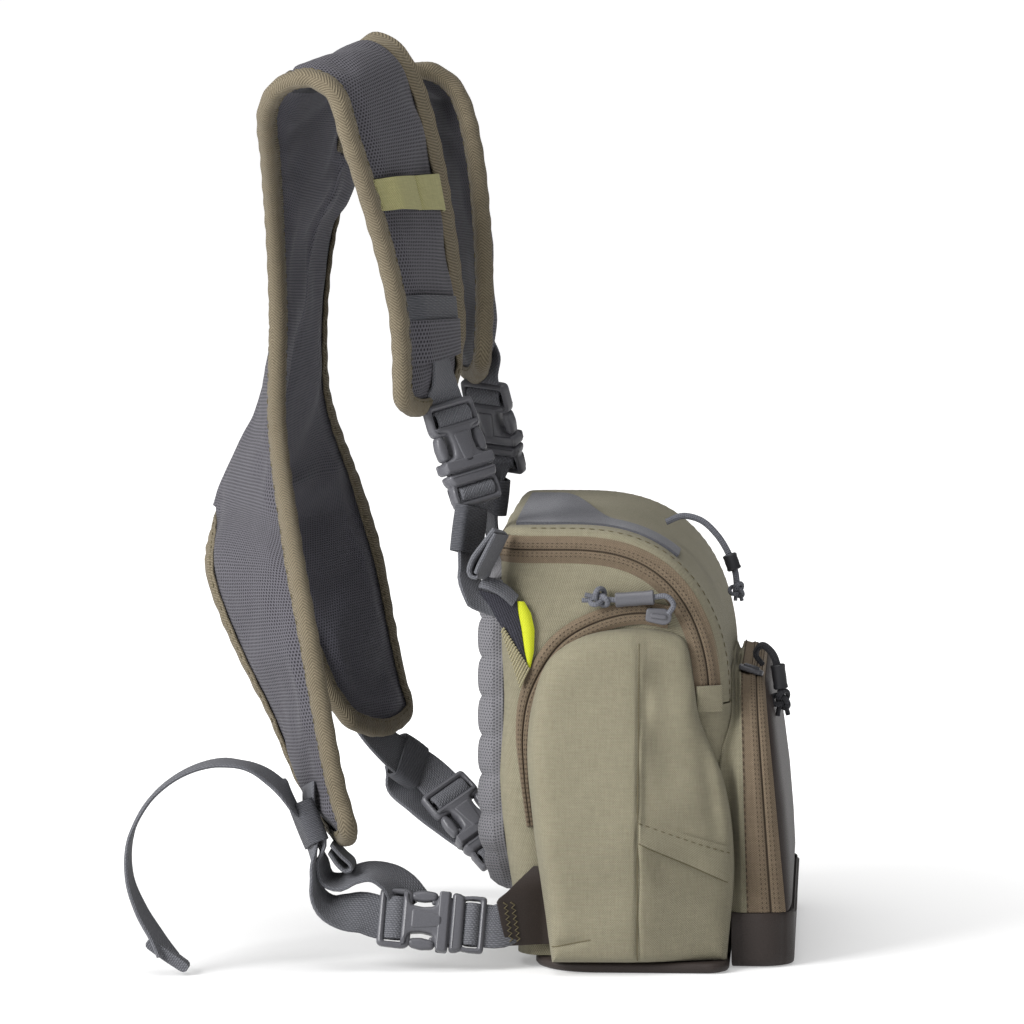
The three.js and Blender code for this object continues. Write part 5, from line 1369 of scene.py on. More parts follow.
def make_back_pad():
    """Spacer mesh pad, quilted into level ribs with scalloped edges."""
    half, low, high, ribs, ripple = (QUILT[key] for key in ("half", "low", "high", "ribs", "ripple"))
    wall_x = BAG["back"] - 2 * GAP
    z = np.linspace(low, high, ribs * QUILT["rows"] + 1)
    swell = np.abs(np.sin((z - low) / (high - low) * math.pi * ribs)) ** 0.75 * 2 * ripple - ripple
    taper = 1 - 0.14 * (1 - ease(low, low + 22, z))
    shares = np.sin(np.linspace(-math.pi / 2, math.pi / 2, QUILT["columns"]))
    edge = np.maximum(0, 1 - ((1 - np.abs(shares)) / 0.1)) ** 2
    ends = np.minimum(1, np.minimum(z - low, high - z) / 4)[:, None] ** 0.5
    x = mix(QUILT["back"] - swell[:, None] * ends, wall_x - 2.2, np.maximum(edge[None] ** 1.5, 1 - ends))
    y = shares[None] * half * taper[:, None] + np.sign(shares)[None] * edge[None] * swell[:, None]
    outer = np.stack([x, y, np.repeat(z[:, None], QUILT["columns"], axis=1)], axis=2)
    held = np.zeros(outer.shape[:2], bool)
    held[:: QUILT["rows"]] = True
    held[:, np.abs(shares) > 0.985] = True
    columns = (np.arcsin(np.linspace(-1, 1, 47)) / math.pi + 0.5) * (QUILT["columns"] - 1)
    rows = np.arange(len(z), dtype=float)
    facing = normals_of(outer, BAG_MIDDLE)
    outer = outer + blown_out("quilt cloth", outer, facing, held, rows, columns, QUILT["spare"], QUILT["cap"])
    inner = outer.copy()
    inner[:, :, 0] = wall_x + 1.6 * edge[None]
    inner[:, :, 1] = shares[None] * half * taper[:, None] * 0.998
    for face in (outer, inner):
        face[:, :, 0] += drawn_in(face[:, :, 2])
    piece = Piece()
    piece.shell(outer, inner)
    pad = finished(piece, "back_quilt", [PADDING], ("back_pad",))


def make_patch():
    """Felt on the lid, broad at the back and a strip along the near edge further on."""
    held = (PROFILE[:, 0] >= BAG["back"] + LID["radius"] - 0.01) & (PROFILE[:, 1] > BAG["top"] - 12)
    at, normal = PROFILE[held], PROFILE_NORMAL[held]
    far = mix(50.0, -50.0, ease(-32, -8, at[:, 0]))
    y = between(np.full(len(far), -72.0), far, np.linspace(0, 1, 40))
    stand = 0.9 + LID["crown"] * (1 - (y / 80) ** 2)
    x = at[:, :1] + normal[:, :1] * stand
    z = at[:, 1:] + normal[:, 1:] * stand
    grid = np.stack([x, y, z], axis=2)
    walled("felt_patch", grid, 1.6, BAG_MIDDLE, FELT, ("lid_patch",))


TAB = [(9, -46, -29.5), (25.6, -49.2, -32.4), (37.5, -36.4, -34.9)]
TAB_STAND = [(-50, 94.4), (-45, 92.3), (-39, 89.9), (-33, 87.3), (-29, 86.7)]
LINING = [(109.5, -38.2, 0.5), (116, -38.0, 1.7), (124, -38.5, 2.4), (130, -39.7, 2.3), (134.5, -41.2, 1.2)]


def read_table(table, places):
    """Columns of a table, read at places of its first column."""
    columns = np.array(table, float).T
    return [np.interp(places, columns[0], column) for column in columns[1:]]


def tab_stand(x, z):
    """How far the corner tab stands out: over the webbing at its back, flat on the side above."""
    return mix(read_table(TAB_STAND, x)[0], 86.5, ease(27, TAB[-1][0], z))


def zigzag(start, end, across, width, count):
    """Points of a zigzag stitch between two ends."""
    shares = np.linspace(0, 1, count)
    swing = np.where(np.arange(count) % 2 == 0, -0.5, 0.5) * width
    return mix(np.asarray(start), np.asarray(end), shares[:, None]) + swing[:, None] * np.asarray(across)


def make_tab(label, side):
    """Corner tab over the end of the lower webbing, with its zigzag tack."""
    levels = np.linspace(TAB[0][0], TAB[-1][0], 24)
    back, front = read_table(TAB, levels)
    x = between(back, front, np.linspace(0, 1, 16))
    z = np.repeat(levels[:, None], 16, axis=1)
    grid = np.stack([x, side * tab_stand(x, z), z], axis=2)
    walled(f"tab_{label}", grid, 1.2, BAG_MIDDLE, BROWN, (f"corner_tab_{label}",))
    stitch = Piece()
    for offset in (0.0, 2.6):
        line = zigzag((-44.2 + offset, 0, 10.5), (-46.4 + offset, 0, 25), (1, 0, 0), 1.3, 15)
        line[:, 1] = side * (tab_stand(line[:, 0], line[:, 2]) + 0.3)
        rope(stitch, line, 0.3, 0, (0, 1, 0), 6)
    finished(stitch, f"tab_tack_{label}", [OLIVE_THREAD], ())


def make_lining(label, side):
    """Lining that shows in the slit of the body."""
    levels = np.linspace(110, 134.3, 24)
    middle, half = read_table(LINING, levels)
    shares = np.linspace(-1, 1, 9)
    x = middle[:, None] + half[:, None] * shares[None]
    bulge = 86.1 + 0.8 * (1 - shares[None] ** 2) * half[:, None] / 2
    grid = np.stack([x, side * bulge, np.repeat(levels[:, None], 9, axis=1)], axis=2)
    walled(f"lining_{label}", grid, 0.7, BAG_MIDDLE, LIME, (f"slit_lining_{label}",))


make_front_pocket()
make_base()
make_back_pad()
make_patch()
for trim_label, trim_side in SIDES:
    make_tab(trim_label, trim_side)
    make_lining(trim_label, trim_side)

# Yoke: the outer (lateral) and inner (medial) edge of each section of the near half
SECTIONS = [
    ((25, -98, 209), (35.5, -42, 215)), ((23.5, -102, 241), (35, -43, 238)),
    ((15, -106, 277), (31, -47, 275)), ((7, -110, 304), (24.5, -50, 309)),
    ((2, -110, 319), (16.5, -51, 329)), ((-8, -107, 324), (7, -46, 335)),
    ((-20, -100, 320), (-5, -28, 323)), ((-26, -89, 310), (-11, -12, 306)),
    ((-27, -77, 297), (-15, -0.4, 290)), ((-28, -66, 286), (-18, 0, 280)),
    ((-29, -53, 268), (-25, 0, 266)), ((-29, -45, 234), (-32, 0, 232)),
    ((-28, -54, 199), (-42, 0, 194)), ((-23, -70, 175), (-53, 0, 172)),
    ((-20, -78, 164), (-56.5, -0.4, 163)), ((-15, -90, 145), (-54, -40, 141)),
    ((-9, -99, 121), (-41, -55, 114)), ((-4, -103, 96), (-28, -59, 90)),
    ((1, -106, 72), (-18, -60, 67)), ((6, -107, 54), (-10, -64, 55)),
]
LATERAL = np.array([row[0] for row in SECTIONS], float)
MEDIAL = np.array([row[1] for row in SECTIONS], float)
LAST = len(SECTIONS) - 1
NAPE_ROW, FORK_ROW = 8, 14
# Rows of the quilted seam across the shoulders, and of the end of the painted shade on their inner faces
SHOULDER_SEAM, SHADED_LINER_END = 5.6, 5.9
SOFT_EDGE, SEWN_EDGE = 11.0, 4.5
PAD_SPARE, PAD_CAP = 0.03, 1.4
TORSO = np.array([45.0, 0.0, 200.0])
CHEST = np.array([-10.0, 0.0, 200.0])
CAD_ROOM = 4.4


def to_bag(points):
    """Carries points from the yoke's frame to the bag's."""
    points = np.asarray(points, float)
    cos, sin = math.cos(YOKE["yaw"]), math.sin(YOKE["yaw"])
    x, y = points[..., 0], points[..., 1]
    return np.stack([YOKE["at"] + x * cos - y * sin, x * sin + y * cos, points[..., 2]], axis=-1)


def turned_to_bag(vectors):
    return to_bag(vectors) - to_bag(np.zeros(3))


def on_side(points, side):
    """Mirrors a near point to its side. The far half hangs shorter, with its crown forwards."""
    points = np.asarray(points, float)
    y = -side * points[..., 1]
    share = ease(0, 60, y)
    level = (points[..., 2] - 55) / 275
    turn = 7.0 * ease(50, 95, y) * ease(-10, 15, points[..., 0]) * ease(190, 225, points[..., 2])
    x = points[..., 0] + share * mix(-9.0, 8.0, level) - turn
    return np.stack([x, y, points[..., 2] + share * mix(18.0, -12.0, level)], axis=-1)


def spine_share(sections):
    """One where the two halves of the pad meet on the spine, nought elsewhere."""
    ends = [NAPE_ROW - 0.5, NAPE_ROW - 0.25, FORK_ROW + 0.18, FORK_ROW + 0.4]
    return np.interp(sections, ends, [0, 1, 1, 0])


def line_tangent(table, sections):
    step = 1e-4
    return unit(spline_at(table, sections / LAST + step) - spline_at(table, sections / LAST - step))


def yoke_points(sections, shares, side, room=CAD_ROOM, spine_room=-GAP):
    """Points of the yoke's middle surface, in its own frame: section rows, shares to the medial edge."""
    sections = np.asarray(sections, float)
    lateral = spline_at(LATERAL, sections / LAST)
    medial = spline_at(MEDIAL, sections / LAST)
    width = np.linalg.norm(medial - lateral, axis=1)
    direction = unit(medial - lateral)
    rooms = []
    for table in (LATERAL, MEDIAL):
        slant = np.sum(line_tangent(table, sections) * direction, axis=1)
        rooms.append(room / np.maximum(0.36, np.sqrt(np.maximum(0, 1 - slant**2))))
    rooms[1] = mix(rooms[1], spine_room, spine_share(sections))
    share = mix((rooms[0] / width)[:, None], (1 - rooms[1] / width)[:, None], np.asarray(shares)[None])
    points = lateral[:, None] + (medial - lateral)[:, None] * share[:, :, None]
    return on_side(points, side)


def off_yoke(section, across, side, stand):
    """Point that stands off the yoke's outer face, in the bag's frame."""
    steps = np.array([-0.05, 0, 0.05])
    grid = yoke_points(section + steps, across + steps, side)
    normal = normals_of(grid, CHEST)[1, 1]
    return to_bag(grid[1, 1] + normal * stand)


def pad_grid(sections, shares, side):
    """Middle surface of one half of the pad, filled out to the binding round both ends."""
    grid = yoke_points(sections, shares, side, 1.2, 0.0)
    route, _, tips = edge_route(side)
    fills = []
    for row, tip, step in ((0, tips[1], 1), (-1, tips[0], -1)):
        curve = spline_at(route, np.linspace(tip - step, tip + step, 121) / (len(route) - 1))
        run = run_of(curve)
        rim = np.stack([np.interp(shares * run[-1], run, curve[:, k]) for k in range(3)], axis=1)
        rim = rim + unit(grid[row] - rim) * 1.2
        fills.append(mix(grid[row][None], rim[None], np.linspace(1, 0, 6)[:-1, None, None]))
    return np.vstack([fills[0], grid, fills[1][::-1]])


def pad_swell(shares, width, spine=0.0):
    """How full the pad is between its soft edges, nought to one. On the spine it stays full."""
    lateral = ease(0, SOFT_EDGE, shares[None] * width)
    medial = ease(0, SOFT_EDGE, (1 - shares[None]) * width)
    return lateral * np.maximum(medial, spine)


def make_yoke():
    """Padded mesh of both halves, which meet on the spine, blown out between its seams."""
    sections = np.linspace(0.04, LAST - 0.04, 300)
    edge = np.linspace(0, 0.2, 11)
    shares = np.concatenate([edge[:-1], np.linspace(0.2, 0.8, 25), 1 - edge[-2::-1]])
    rows = np.concatenate([np.linspace(-0.2, 0, 5), sections, np.linspace(LAST, LAST + 0.2, 5)])
    spine = spine_share(rows)
    on_spine = spine > 0.999
    piece = Piece()
    grids = [pad_grid(sections, shares, side) for side in (-1, 1)]
    for grid in grids:
        grid[on_spine, -1, 1] = 0
    facings = [normals_of(grid, TORSO) for grid in grids]
    ridge = unit((facings[0][on_spine, -1] + facings[1][on_spine, -1]) * [1, 0, 1])
    for grid, normals in zip(grids, facings):
        normals[on_spine, -1] = ridge
        width = np.linalg.norm(grid[:, -1] - grid[:, 0], axis=1)[:, None]
        lateral = shares[None] * width
        medial = (1 - shares[None]) * width
        swell = pad_swell(shares, width, spine[:, None] ** 2)
        ends = ease(-0.2, 0.25, rows) * (1 - ease(LAST - 0.35, LAST + 0.2, rows))
        half = mix(YOKE["edge"], YOKE["middle"], swell * ends[:, None]) / 2
        off_seam = rows[:, None] - SHOULDER_SEAM
        seam = 1.6 * bump(off_seam - 0.12 * np.sin(shares * 3)[None], 0.035) * swell
        dimple = 0.35 * unevenness(grid, 42, 5) * (1 - 0.999 * on_spine[:, None] * (shares > 0.999)[None])
        outer = to_bag(grid + normals * (half - seam + dimple * swell)[:, :, None])
        inner = to_bag(grid - normals * (half - dimple * swell)[:, :, None])
        held = (lateral < SEWN_EDGE) | ((medial < SEWN_EDGE) & ~on_spine[:, None]) | (shares > 0.999)[None]
        held = held | (np.abs(off_seam) < 0.05)
        held[:4] = True
        held[-4:] = True
        facing = turned_to_bag(normals)
        coarse = (np.linspace(0, len(rows) - 1, 124), np.linspace(0, len(shares) - 1, 21))
        outer = outer + blown_out("outer cloth", outer, facing, held, *coarse, PAD_SPARE, PAD_CAP)
        inner = inner + blown_out("inner cloth", inner, -facing, held, *coarse, PAD_SPARE, PAD_CAP)
        uv = surface_uv(outer)
        piece.patch(outer, uv, 0)
        # The inner faces of the shoulders, in front of that row, take the darker copy of the spacer mesh:
        # painted shade
        shaded_rows_end = int(np.searchsorted(rows, SHADED_LINER_END))
        piece.patch(inner[shaded_rows_end:], uv[shaded_rows_end:], 1)
        piece.patch(inner[: shaded_rows_end + 1], uv[: shaded_rows_end + 1], 2)
        strip = np.stack([outer[:, -1], inner[:, -1]])
        joined = on_spine[1:] & on_spine[:-1]
        piece.patch(strip, None, 0, ~joined[None])
        piece.patch(np.stack([outer[:, 0], inner[:, 0]]))
        for row in (0, -1):
            piece.patch(np.stack([outer[row], inner[row]]))
    pad = finished(piece, "yoke_mesh", [MESH, LINER, SHADED_LINER], ("yoke_pad",), 70)


def edge_route(side):
    """Binding route of one half, a point inside the pad for each of its points, and its two tips."""
    def row(table, other, numbers):
        return spline_at(table, numbers / LAST), spline_at(other, numbers / LAST)

    def half_steps(start, end):
        return np.linspace(start, end, int(abs(end - start) * 2) + 1)

    def bulge(section, inner):
        ends = np.array([section, section + inner, section + 1.5 * inner], float)
        middle = (spline_at(LATERAL, ends / LAST) + spline_at(MEDIAL, ends / LAST)) / 2
        return middle[0] + unit(middle[0] - middle[1]) * 7.0, middle[2]

    def meeting(section, rise):
        end = MEDIAL[section]
        target = np.array([end[0], 0.0, end[2] - rise * 3])
        return [(np.array([end[0], y, end[2] + rise]), target) for y in (-5.0, -0.3)]

    tips = []
    pairs = list(reversed(meeting(FORK_ROW, -7.0)))
    for table, other, start, end in ((MEDIAL, LATERAL, FORK_ROW + 1, LAST), (LATERAL, MEDIAL, LAST, 0),
                                     (MEDIAL, LATERAL, 0, NAPE_ROW - 1)):
        pairs.extend(zip(*row(table, other, half_steps(start, end))))
        if end in (0, LAST):
            tips.append(len(pairs))
            pairs.append(bulge(end, 1 if end == 0 else -1))
    pairs.extend(meeting(NAPE_ROW, 7.0))
    line = np.array([pair[0] for pair in pairs])
    target = np.array([pair[1] for pair in pairs])
    return on_side(line, side), on_side(target, side), tips


BINDING_FACE = [
    (2.9, 2.35), (2.95, 2.9), (2.5, 3.2), (1.2, 3.35), (-0.4, 3.3), (-1.9, 2.9), (-3.0, 1.9), (-3.55, 0.7),
]
BINDING_FOLD = [(1.4, -2.2), (0.0, -1.9), (-0.8, 0.0), (0.0, 1.9), (1.4, 2.2)]
BINDING_SECTION = np.array(
    BINDING_FACE + [(x, -y) for x, y in reversed(BINDING_FACE)] + BINDING_FOLD + BINDING_FACE[:1]
)


def make_binding(label, side):
    """Folded tape round the edge of one half of the yoke, puckered by its stitches."""
    route, targets, tips = edge_route(side)
    shares = even_shares(route, 1.6)
    line = spline_at(route, shares)
    target = spline_at(targets, shares)
    tangent = tangents(line)
    inside = target - line
    inside = square_to(inside, tangent)
    for _ in range(6):
        inside = unit(inside + np.roll(inside, 1, axis=0) + np.roll(inside, -1, axis=0))
    inside = square_to(inside, tangent)
    facing = np.cross(tangent, inside)
    run = run_of(line)
    pucker = 0.14 * np.sin(run / 13 * 2 * math.pi) + 0.12 * np.sin(run / 7.3 * 2 * math.pi + 1.1)
    section = np.repeat(BINDING_SECTION[None], len(line), axis=0).copy()
    outside = np.clip(0.5 - BINDING_SECTION[:, 0] / 4, 0, 1)
    section[:, :, 0] -= pucker[:, None] * outside[None]
    section[:, :, 1] *= 1 + 0.05 * np.sin(run / 9.1 * 2 * math.pi)[:, None]
    if side < 0:
        number_on = (shares * (len(route) - 1) - tips[1] - 1) / 2
        lip = ease(0.1, 0.7, number_on) * (1 - ease(4.5, 6.2, number_on))
        outer = np.sign(np.sum(facing * (line - CHEST), axis=1))
        above = np.clip(0.5 + outer[:, None] * BINDING_SECTION[None, :, 1] / 1.4, 0, 1) * lip[:, None]
        section[:, :, 1] += outer[:, None] * above * (2.2 * outside[None])
        section[:, :, 0] += above * 2.6 * np.clip(BINDING_SECTION[None, :, 0] / 2.5, 0, 1)
    centres, across, face = to_bag(line), turned_to_bag(inside), turned_to_bag(facing)
    piece = Piece()
    piece.sweep(centres, across, section, face)
    finished(piece, f"edge_binding_{label}", [BINDING], (f"yoke_binding_{label}",))
    lines = []
    for sign in (1, -1):
        lines.append((centres + across * 1.7 + face * sign * 3.35, face * sign))
    rows_along(f"binding_stitches_{label}", lines, BINDING_STITCH, OLIVE_THREAD)


def make_bands():
    """Green tape sewn into two loops, and a grey elastic band, on the near shoulder."""
    for name, section, height, count, rise, coat, node, slot in (
        ("loop_tape", 2.16, 13.0, 2, 2.2, GREEN, "shoulder_loops", "green_tape"),
        ("band_elastic", 1.0, 9.0, 1, 1.5, ELASTIC, "shoulder_elastic", "grey_elastic"),
        ("strap_cover", 0.62, 17.0, 1, 2.7, MESH, None, "spacer_mesh"),
    ):
        length = height / 34
        rows = np.linspace(section - length / 2, section + length / 2, 12)
        shares = np.linspace(-0.02, 1.02, 61)
        grid = yoke_points(rows, shares, -1, 2.4)
        normals = normals_of(grid, CHEST)
        width = np.linalg.norm(grid[:, -1] - grid[:, 0], axis=1)[:, None]
        swell = pad_swell(shares, width)
        wave = np.abs(np.sin(math.pi * count * np.clip(shares, 0, 1))) ** (0.35 if count == 2 else 0.7)
        stand = mix(YOKE["edge"], YOKE["middle"], swell) / 2 + 0.5 + 1.3 * swell + rise * wave[None]
        edge = np.maximum(0, np.abs(shares - 0.5) - 0.44) / 0.08
        stand = stand + 1.3 * np.minimum(1, edge)[None]
        outer = to_bag(grid + normals * stand[:, :, None])
        uv = surface_uv(outer)[:, :, ::-1] if name == "band_elastic" else None
        walled(name, outer, 0.9, to_bag(CHEST), coat, (node,) if node else (), uv)


make_yoke()
for half_label, half_side in SIDES:
    make_binding(half_label, half_side)
make_bands()


# Straps, keepers and buckles
def strap(name, route, node, step=1.8, thick=WEB["thick"], taper=0.0):
    """Webbing along places with leans. A taper narrows the last stretch towards its upper edge."""
    places = np.array([place for place, _ in route], float)
    leans = np.array([lean for _, lean in route], float)
    shares = even_shares(places, step)
    line = spline_at(places, shares)
    across = square_to(spline_at(leans, shares), tangents(line))
    section = np.repeat(band_section(WEB["width"], thick, 0.1)[None], len(line), axis=0)
    if taper:
        run = run_of(line)
        narrow = 1 - 0.85 * np.clip((run - run[-1] + taper) / taper, 0, 1)
        edge = WEB["width"] / 2
        section[:, :, 0] = edge - (edge - section[:, :, 0]) * narrow[:, None]
    piece = Piece()
    piece.sweep(line, across, section)
    finished(piece, name, [WEBBING], (node,) if node else ())


def frame_of(start, end, lean):
    along = unit(np.asarray(end, float) - np.asarray(start, float))
    across = square_to(lean, along)
    return across, along, np.cross(across, along)


def mirrored_outline(right):
    return [tuple(p) for p in right] + [(-x, y) for x, y in reversed(right)]


def box(left, right, low, high):
    return [(left, low), (right, low), (right, high), (left, high)]


def raised(mesh, lift):
    for vertex in mesh.vertices:
        vertex.co.z += lift
    return mesh


BUCKLE_LENGTH = 39.0


def webbing_loop(piece, place, middle, reach, kind):
    """Webbing turned round a buckle's bar."""
    angle = np.linspace(0, 2 * math.pi, 33)
    local = np.stack([np.zeros(33), middle + reach * np.cos(angle), 2.5 * np.sin(angle)], axis=1)
    line = place(local)
    across = place(np.array([1.0, 0, 0])) - place(np.zeros(3))
    piece.sweep(line, across, band_section(15.6, 1.3), None, kind, False)


def make_buckle(label, socket_end, plug_end, lean):
    """Fastened side-release buckle: socket with side windows, plug with two sprung arms."""
    across, along, facing = frame_of(socket_end, plug_end, lean)
    middle = (np.asarray(socket_end, float) + np.asarray(plug_end, float)) / 2
    place = placed(middle - along * BUCKLE_LENGTH / 2, across, along, facing)
    socket = Piece()
    bar = rounded(mirrored_outline([(10.6, 0), (11.0, 10), (9.6, 12.2)]), 2.2)
    socket.solid(plate(bar, 4.6, 1.3, [rounded(box(-8.7, 8.7, 2.5, 9.9), 1.0)]), place)
    core = [(10.4, 8.6), (9.4, 10.2), (5.2, 11.6), (4.6, 16), (5.2, 20.2), (10.9, 22.0), (11.2, 26)]
    socket.solid(plate(rounded(mirrored_outline(core), 1.2), 6.8, 1.4), place)
    for lift in (3.1, -3.1):
        ridge = rounded(mirrored_outline([(3.6, 12), (2.6, 20), (1.8, 23.6)]), 1.2)
        socket.solid(raised(plate(ridge, 1.4, 0.6), lift), place)
        lip = rounded(mirrored_outline([(10.9, 21.6), (10.9, 25.4)]), 1.0)
        socket.solid(raised(plate(lip, 1.4, 0.6), lift), place)
    webbing_loop(socket, place, 6.2, 3.3, 1)
    finished(socket, f"socket_{label}", [PLASTIC, WEBBING], (f"buckle_socket_{label}",), 35)
    plug = Piece()
    ladder = [(10.9, 26.4), (10.9, 29), (9.8, 31.0), (10.4, 33), (10.4, 39)]
    holes = [rounded(box(-8.7, 8.7, 31.3, 36.7), 0.8)]
    plug.solid(plate(rounded(mirrored_outline(ladder), 1.6), 4.6, 1.3, holes), place)
    shoulder = rounded(mirrored_outline([(10.7, 26.5), (10.7, 28.6), (9.4, 31.0)]), 1.3)
    plug.solid(plate(shoulder, 6.8, 1.4), place)
    plug.solid(plate(box(-8.0, 8.0, 22.5, 29.0), 4.2, 0.4), place)
    for side in (-1, 1):
        arm = [(6, 19), (9.4, 19), (9.1, 27), (5.5, 27)]
        head = [(6.9, 12.2), (8.6, 11.2), (10.2, 12.4), (10.9, 16.2), (10.5, 20.6), (8.6, 21.6), (7.2, 20.4),
                (6.5, 16)]
        for outline, thick, bevel in ((arm, 2.7, 0.7), (head, 4.6, 1.5)):
            turned_outline = [(side * x, y) for x, y in outline][:: side]
            plug.solid(plate(rounded(turned_outline, 1.0), thick, bevel), place)
    webbing_loop(plug, place, 34.1, 2.5, 1)
    finished(plug, f"plug_{label}", [PLASTIC, WEBBING], (f"buckle_plug_{label}",), 35)


def make_keeper(label, middle, along, lean, length, half_thick=3.6):
    """Elastic sleeve round two plies of webbing."""
    axis = unit(along)
    across = square_to(lean, axis)
    facing = np.cross(axis, across)
    rows = np.linspace(-length / 2, length / 2, 13)
    line = np.asarray(middle) + axis * rows[:, None]
    swell = 1 + 0.03 * np.cos(rows / length * math.pi)
    grids = []
    for half_wide, deep in ((9.4, half_thick), (8.6, half_thick - 0.85)):
        corners = rounded(box(-half_wide, half_wide, -deep, deep), deep * 0.9, 6)
        section = np.array(corners + corners[:1])
        grids.append(line[:, None] + across * (section[None, :, :1] * swell[:, None, None])
                     + facing * (section[None, :, 1:] * swell[:, None, None]))
    around = run_of(section)
    uv = np.stack(np.meshgrid(around, rows), axis=2)[:, :, ::-1]
    piece = Piece()
    piece.shell(*grids, uv, True)
    finished(piece, f"keeper_band_{label}", [ELASTIC], (f"keeper_{label}",))


UPPER_LEAN = np.array([0.72, 0.66, 0.25])
MIRROR = np.array([1.0, -1.0, 1.0])


def make_shoulder_strap(label, side, start, socket_end, plug_end, lean):
    across, along, _ = frame_of(socket_end, plug_end, lean)
    level = unit(off_yoke(0.3, 0.8, side, 0) - off_yoke(0.3, 0.2, side, 0))
    if np.dot(level, across) < 0:
        level = -level
    end = np.asarray(socket_end)
    strap(f"shoulder_web_{label}", [
        (off_yoke(start, 0.5, side, 4.4), level), (off_yoke(0.4, 0.5, side, 4.9), level),
        (off_yoke(0.03, 0.5, side, 6.0), mix(level, across, 0.4)),
        (end - along * 3.5, mix(level, across, 0.9)), (end + along * 3.6, across),
    ], f"strap_upper_{label}", step=1.2)
    make_buckle(f"upper_{label}", socket_end, plug_end, lean)


SLIT = [
    (109.3, -38.5, -38.2), (117, -43.0, -40.0), (124, -47.5, -40.9), (131, -51.9, -42.0),
    (138.4, -56.6, -42.6),
]


def make_slit(label, side):
    """Webbing in painted shade that passes into the slit of the body, with the tacks along the slit's lower
    edge.
    """
    low, high = SLIT[0][0], SLIT[-1][0]
    levels = np.linspace(low, high, 30)
    first, last = read_table(SLIT, levels)
    shares = np.linspace(0, 1, 14)
    x = between(first, last, shares)
    z = levels[:, None] - 3.6 * shares[None] * ease(124, high, levels)[:, None]
    stand = 86.4 + 0.5 * np.sin(math.pi * shares)[None] + 0 * x
    grid = np.stack([x, side * stand, z], axis=2)
    # This webbing takes the darker copy of the webbing finish: painted shade inside the slit
    walled(f"slit_webbing_{label}", grid, 0.9, BAG_MIDDLE, SHADED_WEBBING, ())
    fold = Piece()
    line = even_line([(-55.2, side * 86.6, 141.4), (-51, side * 87.8, 140.4), (-47, side * 87.9, 138.2),
                      (-43.2, side * 86.4, 134.6)], 1.0)
    fold.sweep(line, unit([0.45, side * -0.5, 0.74]), band_section(5.2, 1.3, 0.2))
    finished(fold, f"slit_fold_{label}", [WEBBING], ())
    tacks = Piece()
    for share in np.linspace(0.5, 1, 16):
        top = mix(np.array([-56.6, side * 87.2, high]), np.array([-38.5, side * 87.0, low]), share)
        reach = 7.0 * (share - 0.42) / 0.58
        foot = top + np.array([-0.42 * reach, side * -0.7, -0.9 * reach])
        bent = (top + foot) / 2 + np.array([0.0, side * 0.5, 0.0])
        rope(tacks, even_line([top + (0.5, 0, 0.9), bent, foot], 0.7), 0.42, 0, (0, 1, 0), 6)
    finished(tacks, f"slit_tacks_{label}", [PALE_THREAD], ())


NEAR_ANCHOR = [
    ((-58.4, -75.8, 172.6), UPPER_LEAN), ((-59.9, -77, 163.1), (0.4, 0.91, 0.1)),
    ((-61.1, -79, 153.1), (0.3, 0.95, 0.1)), ((-60.4, -81.5, 144.4), (0.25, 0.96, 0.12)),
    ((-58.4, -84, 139.6), (0.4, 0.9, 0.2)), ((-54, -85.4, 134.6), (0.75, 0.5, 0.35)),
    ((-49, -85.4, 127.5), (0.9, 0.1, 0.4)), ((-45.6, -85.2, 121.5), (0.9, 0.1, 0.4)),
]
FAR_ANCHOR_TOP = ((-57.6, 80.8, 172.4), UPPER_LEAN * MIRROR)
ANCHOR_TAPER = 18.0
FOLDED_PLY = [
    (-48.4, 160.6), (-52.6, 155), (-56.4, 149.6), (-57.4, 145.2), (-55.6, 143.8), (-53.9, 147.4),
    (-51.0, 153.2), (-48, 159.4),
]
LEG_LOOP = [
    (-109.6, 46), (-105.6, 41.6), (-102.6, 38.8), (-102.2, 37), (-104.4, 36.4), (-107.2, 38.6), (-110.2, 43),
]


def make_upper_straps():
    make_shoulder_strap("near", -1, 0.8, (-69.1, -73, 205.6), (-57.2, -76, 169.2), UPPER_LEAN)
    make_shoulder_strap("far", 1, 0.5, (-63.2, 68, 203.0), (-56.6, 82, 169.3), UPPER_LEAN * MIRROR)
    strap("anchor_web_near", NEAR_ANCHOR, "anchor_upper_near", taper=ANCHOR_TAPER)
    far_anchor = [FAR_ANCHOR_TOP]
    for place, lean in NEAR_ANCHOR[1:]:
        far_anchor.append((np.array(place) * MIRROR + (0, 1.0, 0), np.array(lean) * MIRROR))
    strap("anchor_web_far", far_anchor, "anchor_upper_far", taper=ANCHOR_TAPER)
    fold = [((x, -92.2, z), (0.24, 0.95, -0.14)) for x, z in FOLDED_PLY]
    strap("folded_ply_near", fold, "fold_upper_near", step=0.9, thick=1.8)
    for label, side in SIDES:
        make_slit(label, side)
    make_keeper("upper_near", (-60.5, -77.6, 159.4), (-0.12, -0.16, -1), (0.4, 0.91, 0.1), 17, 2.8)
    make_keeper("upper_far", (-60.2, 78.6, 160), (-0.12, 0.16, -1), (0.5, -0.85, 0.1), 14, 2.8)


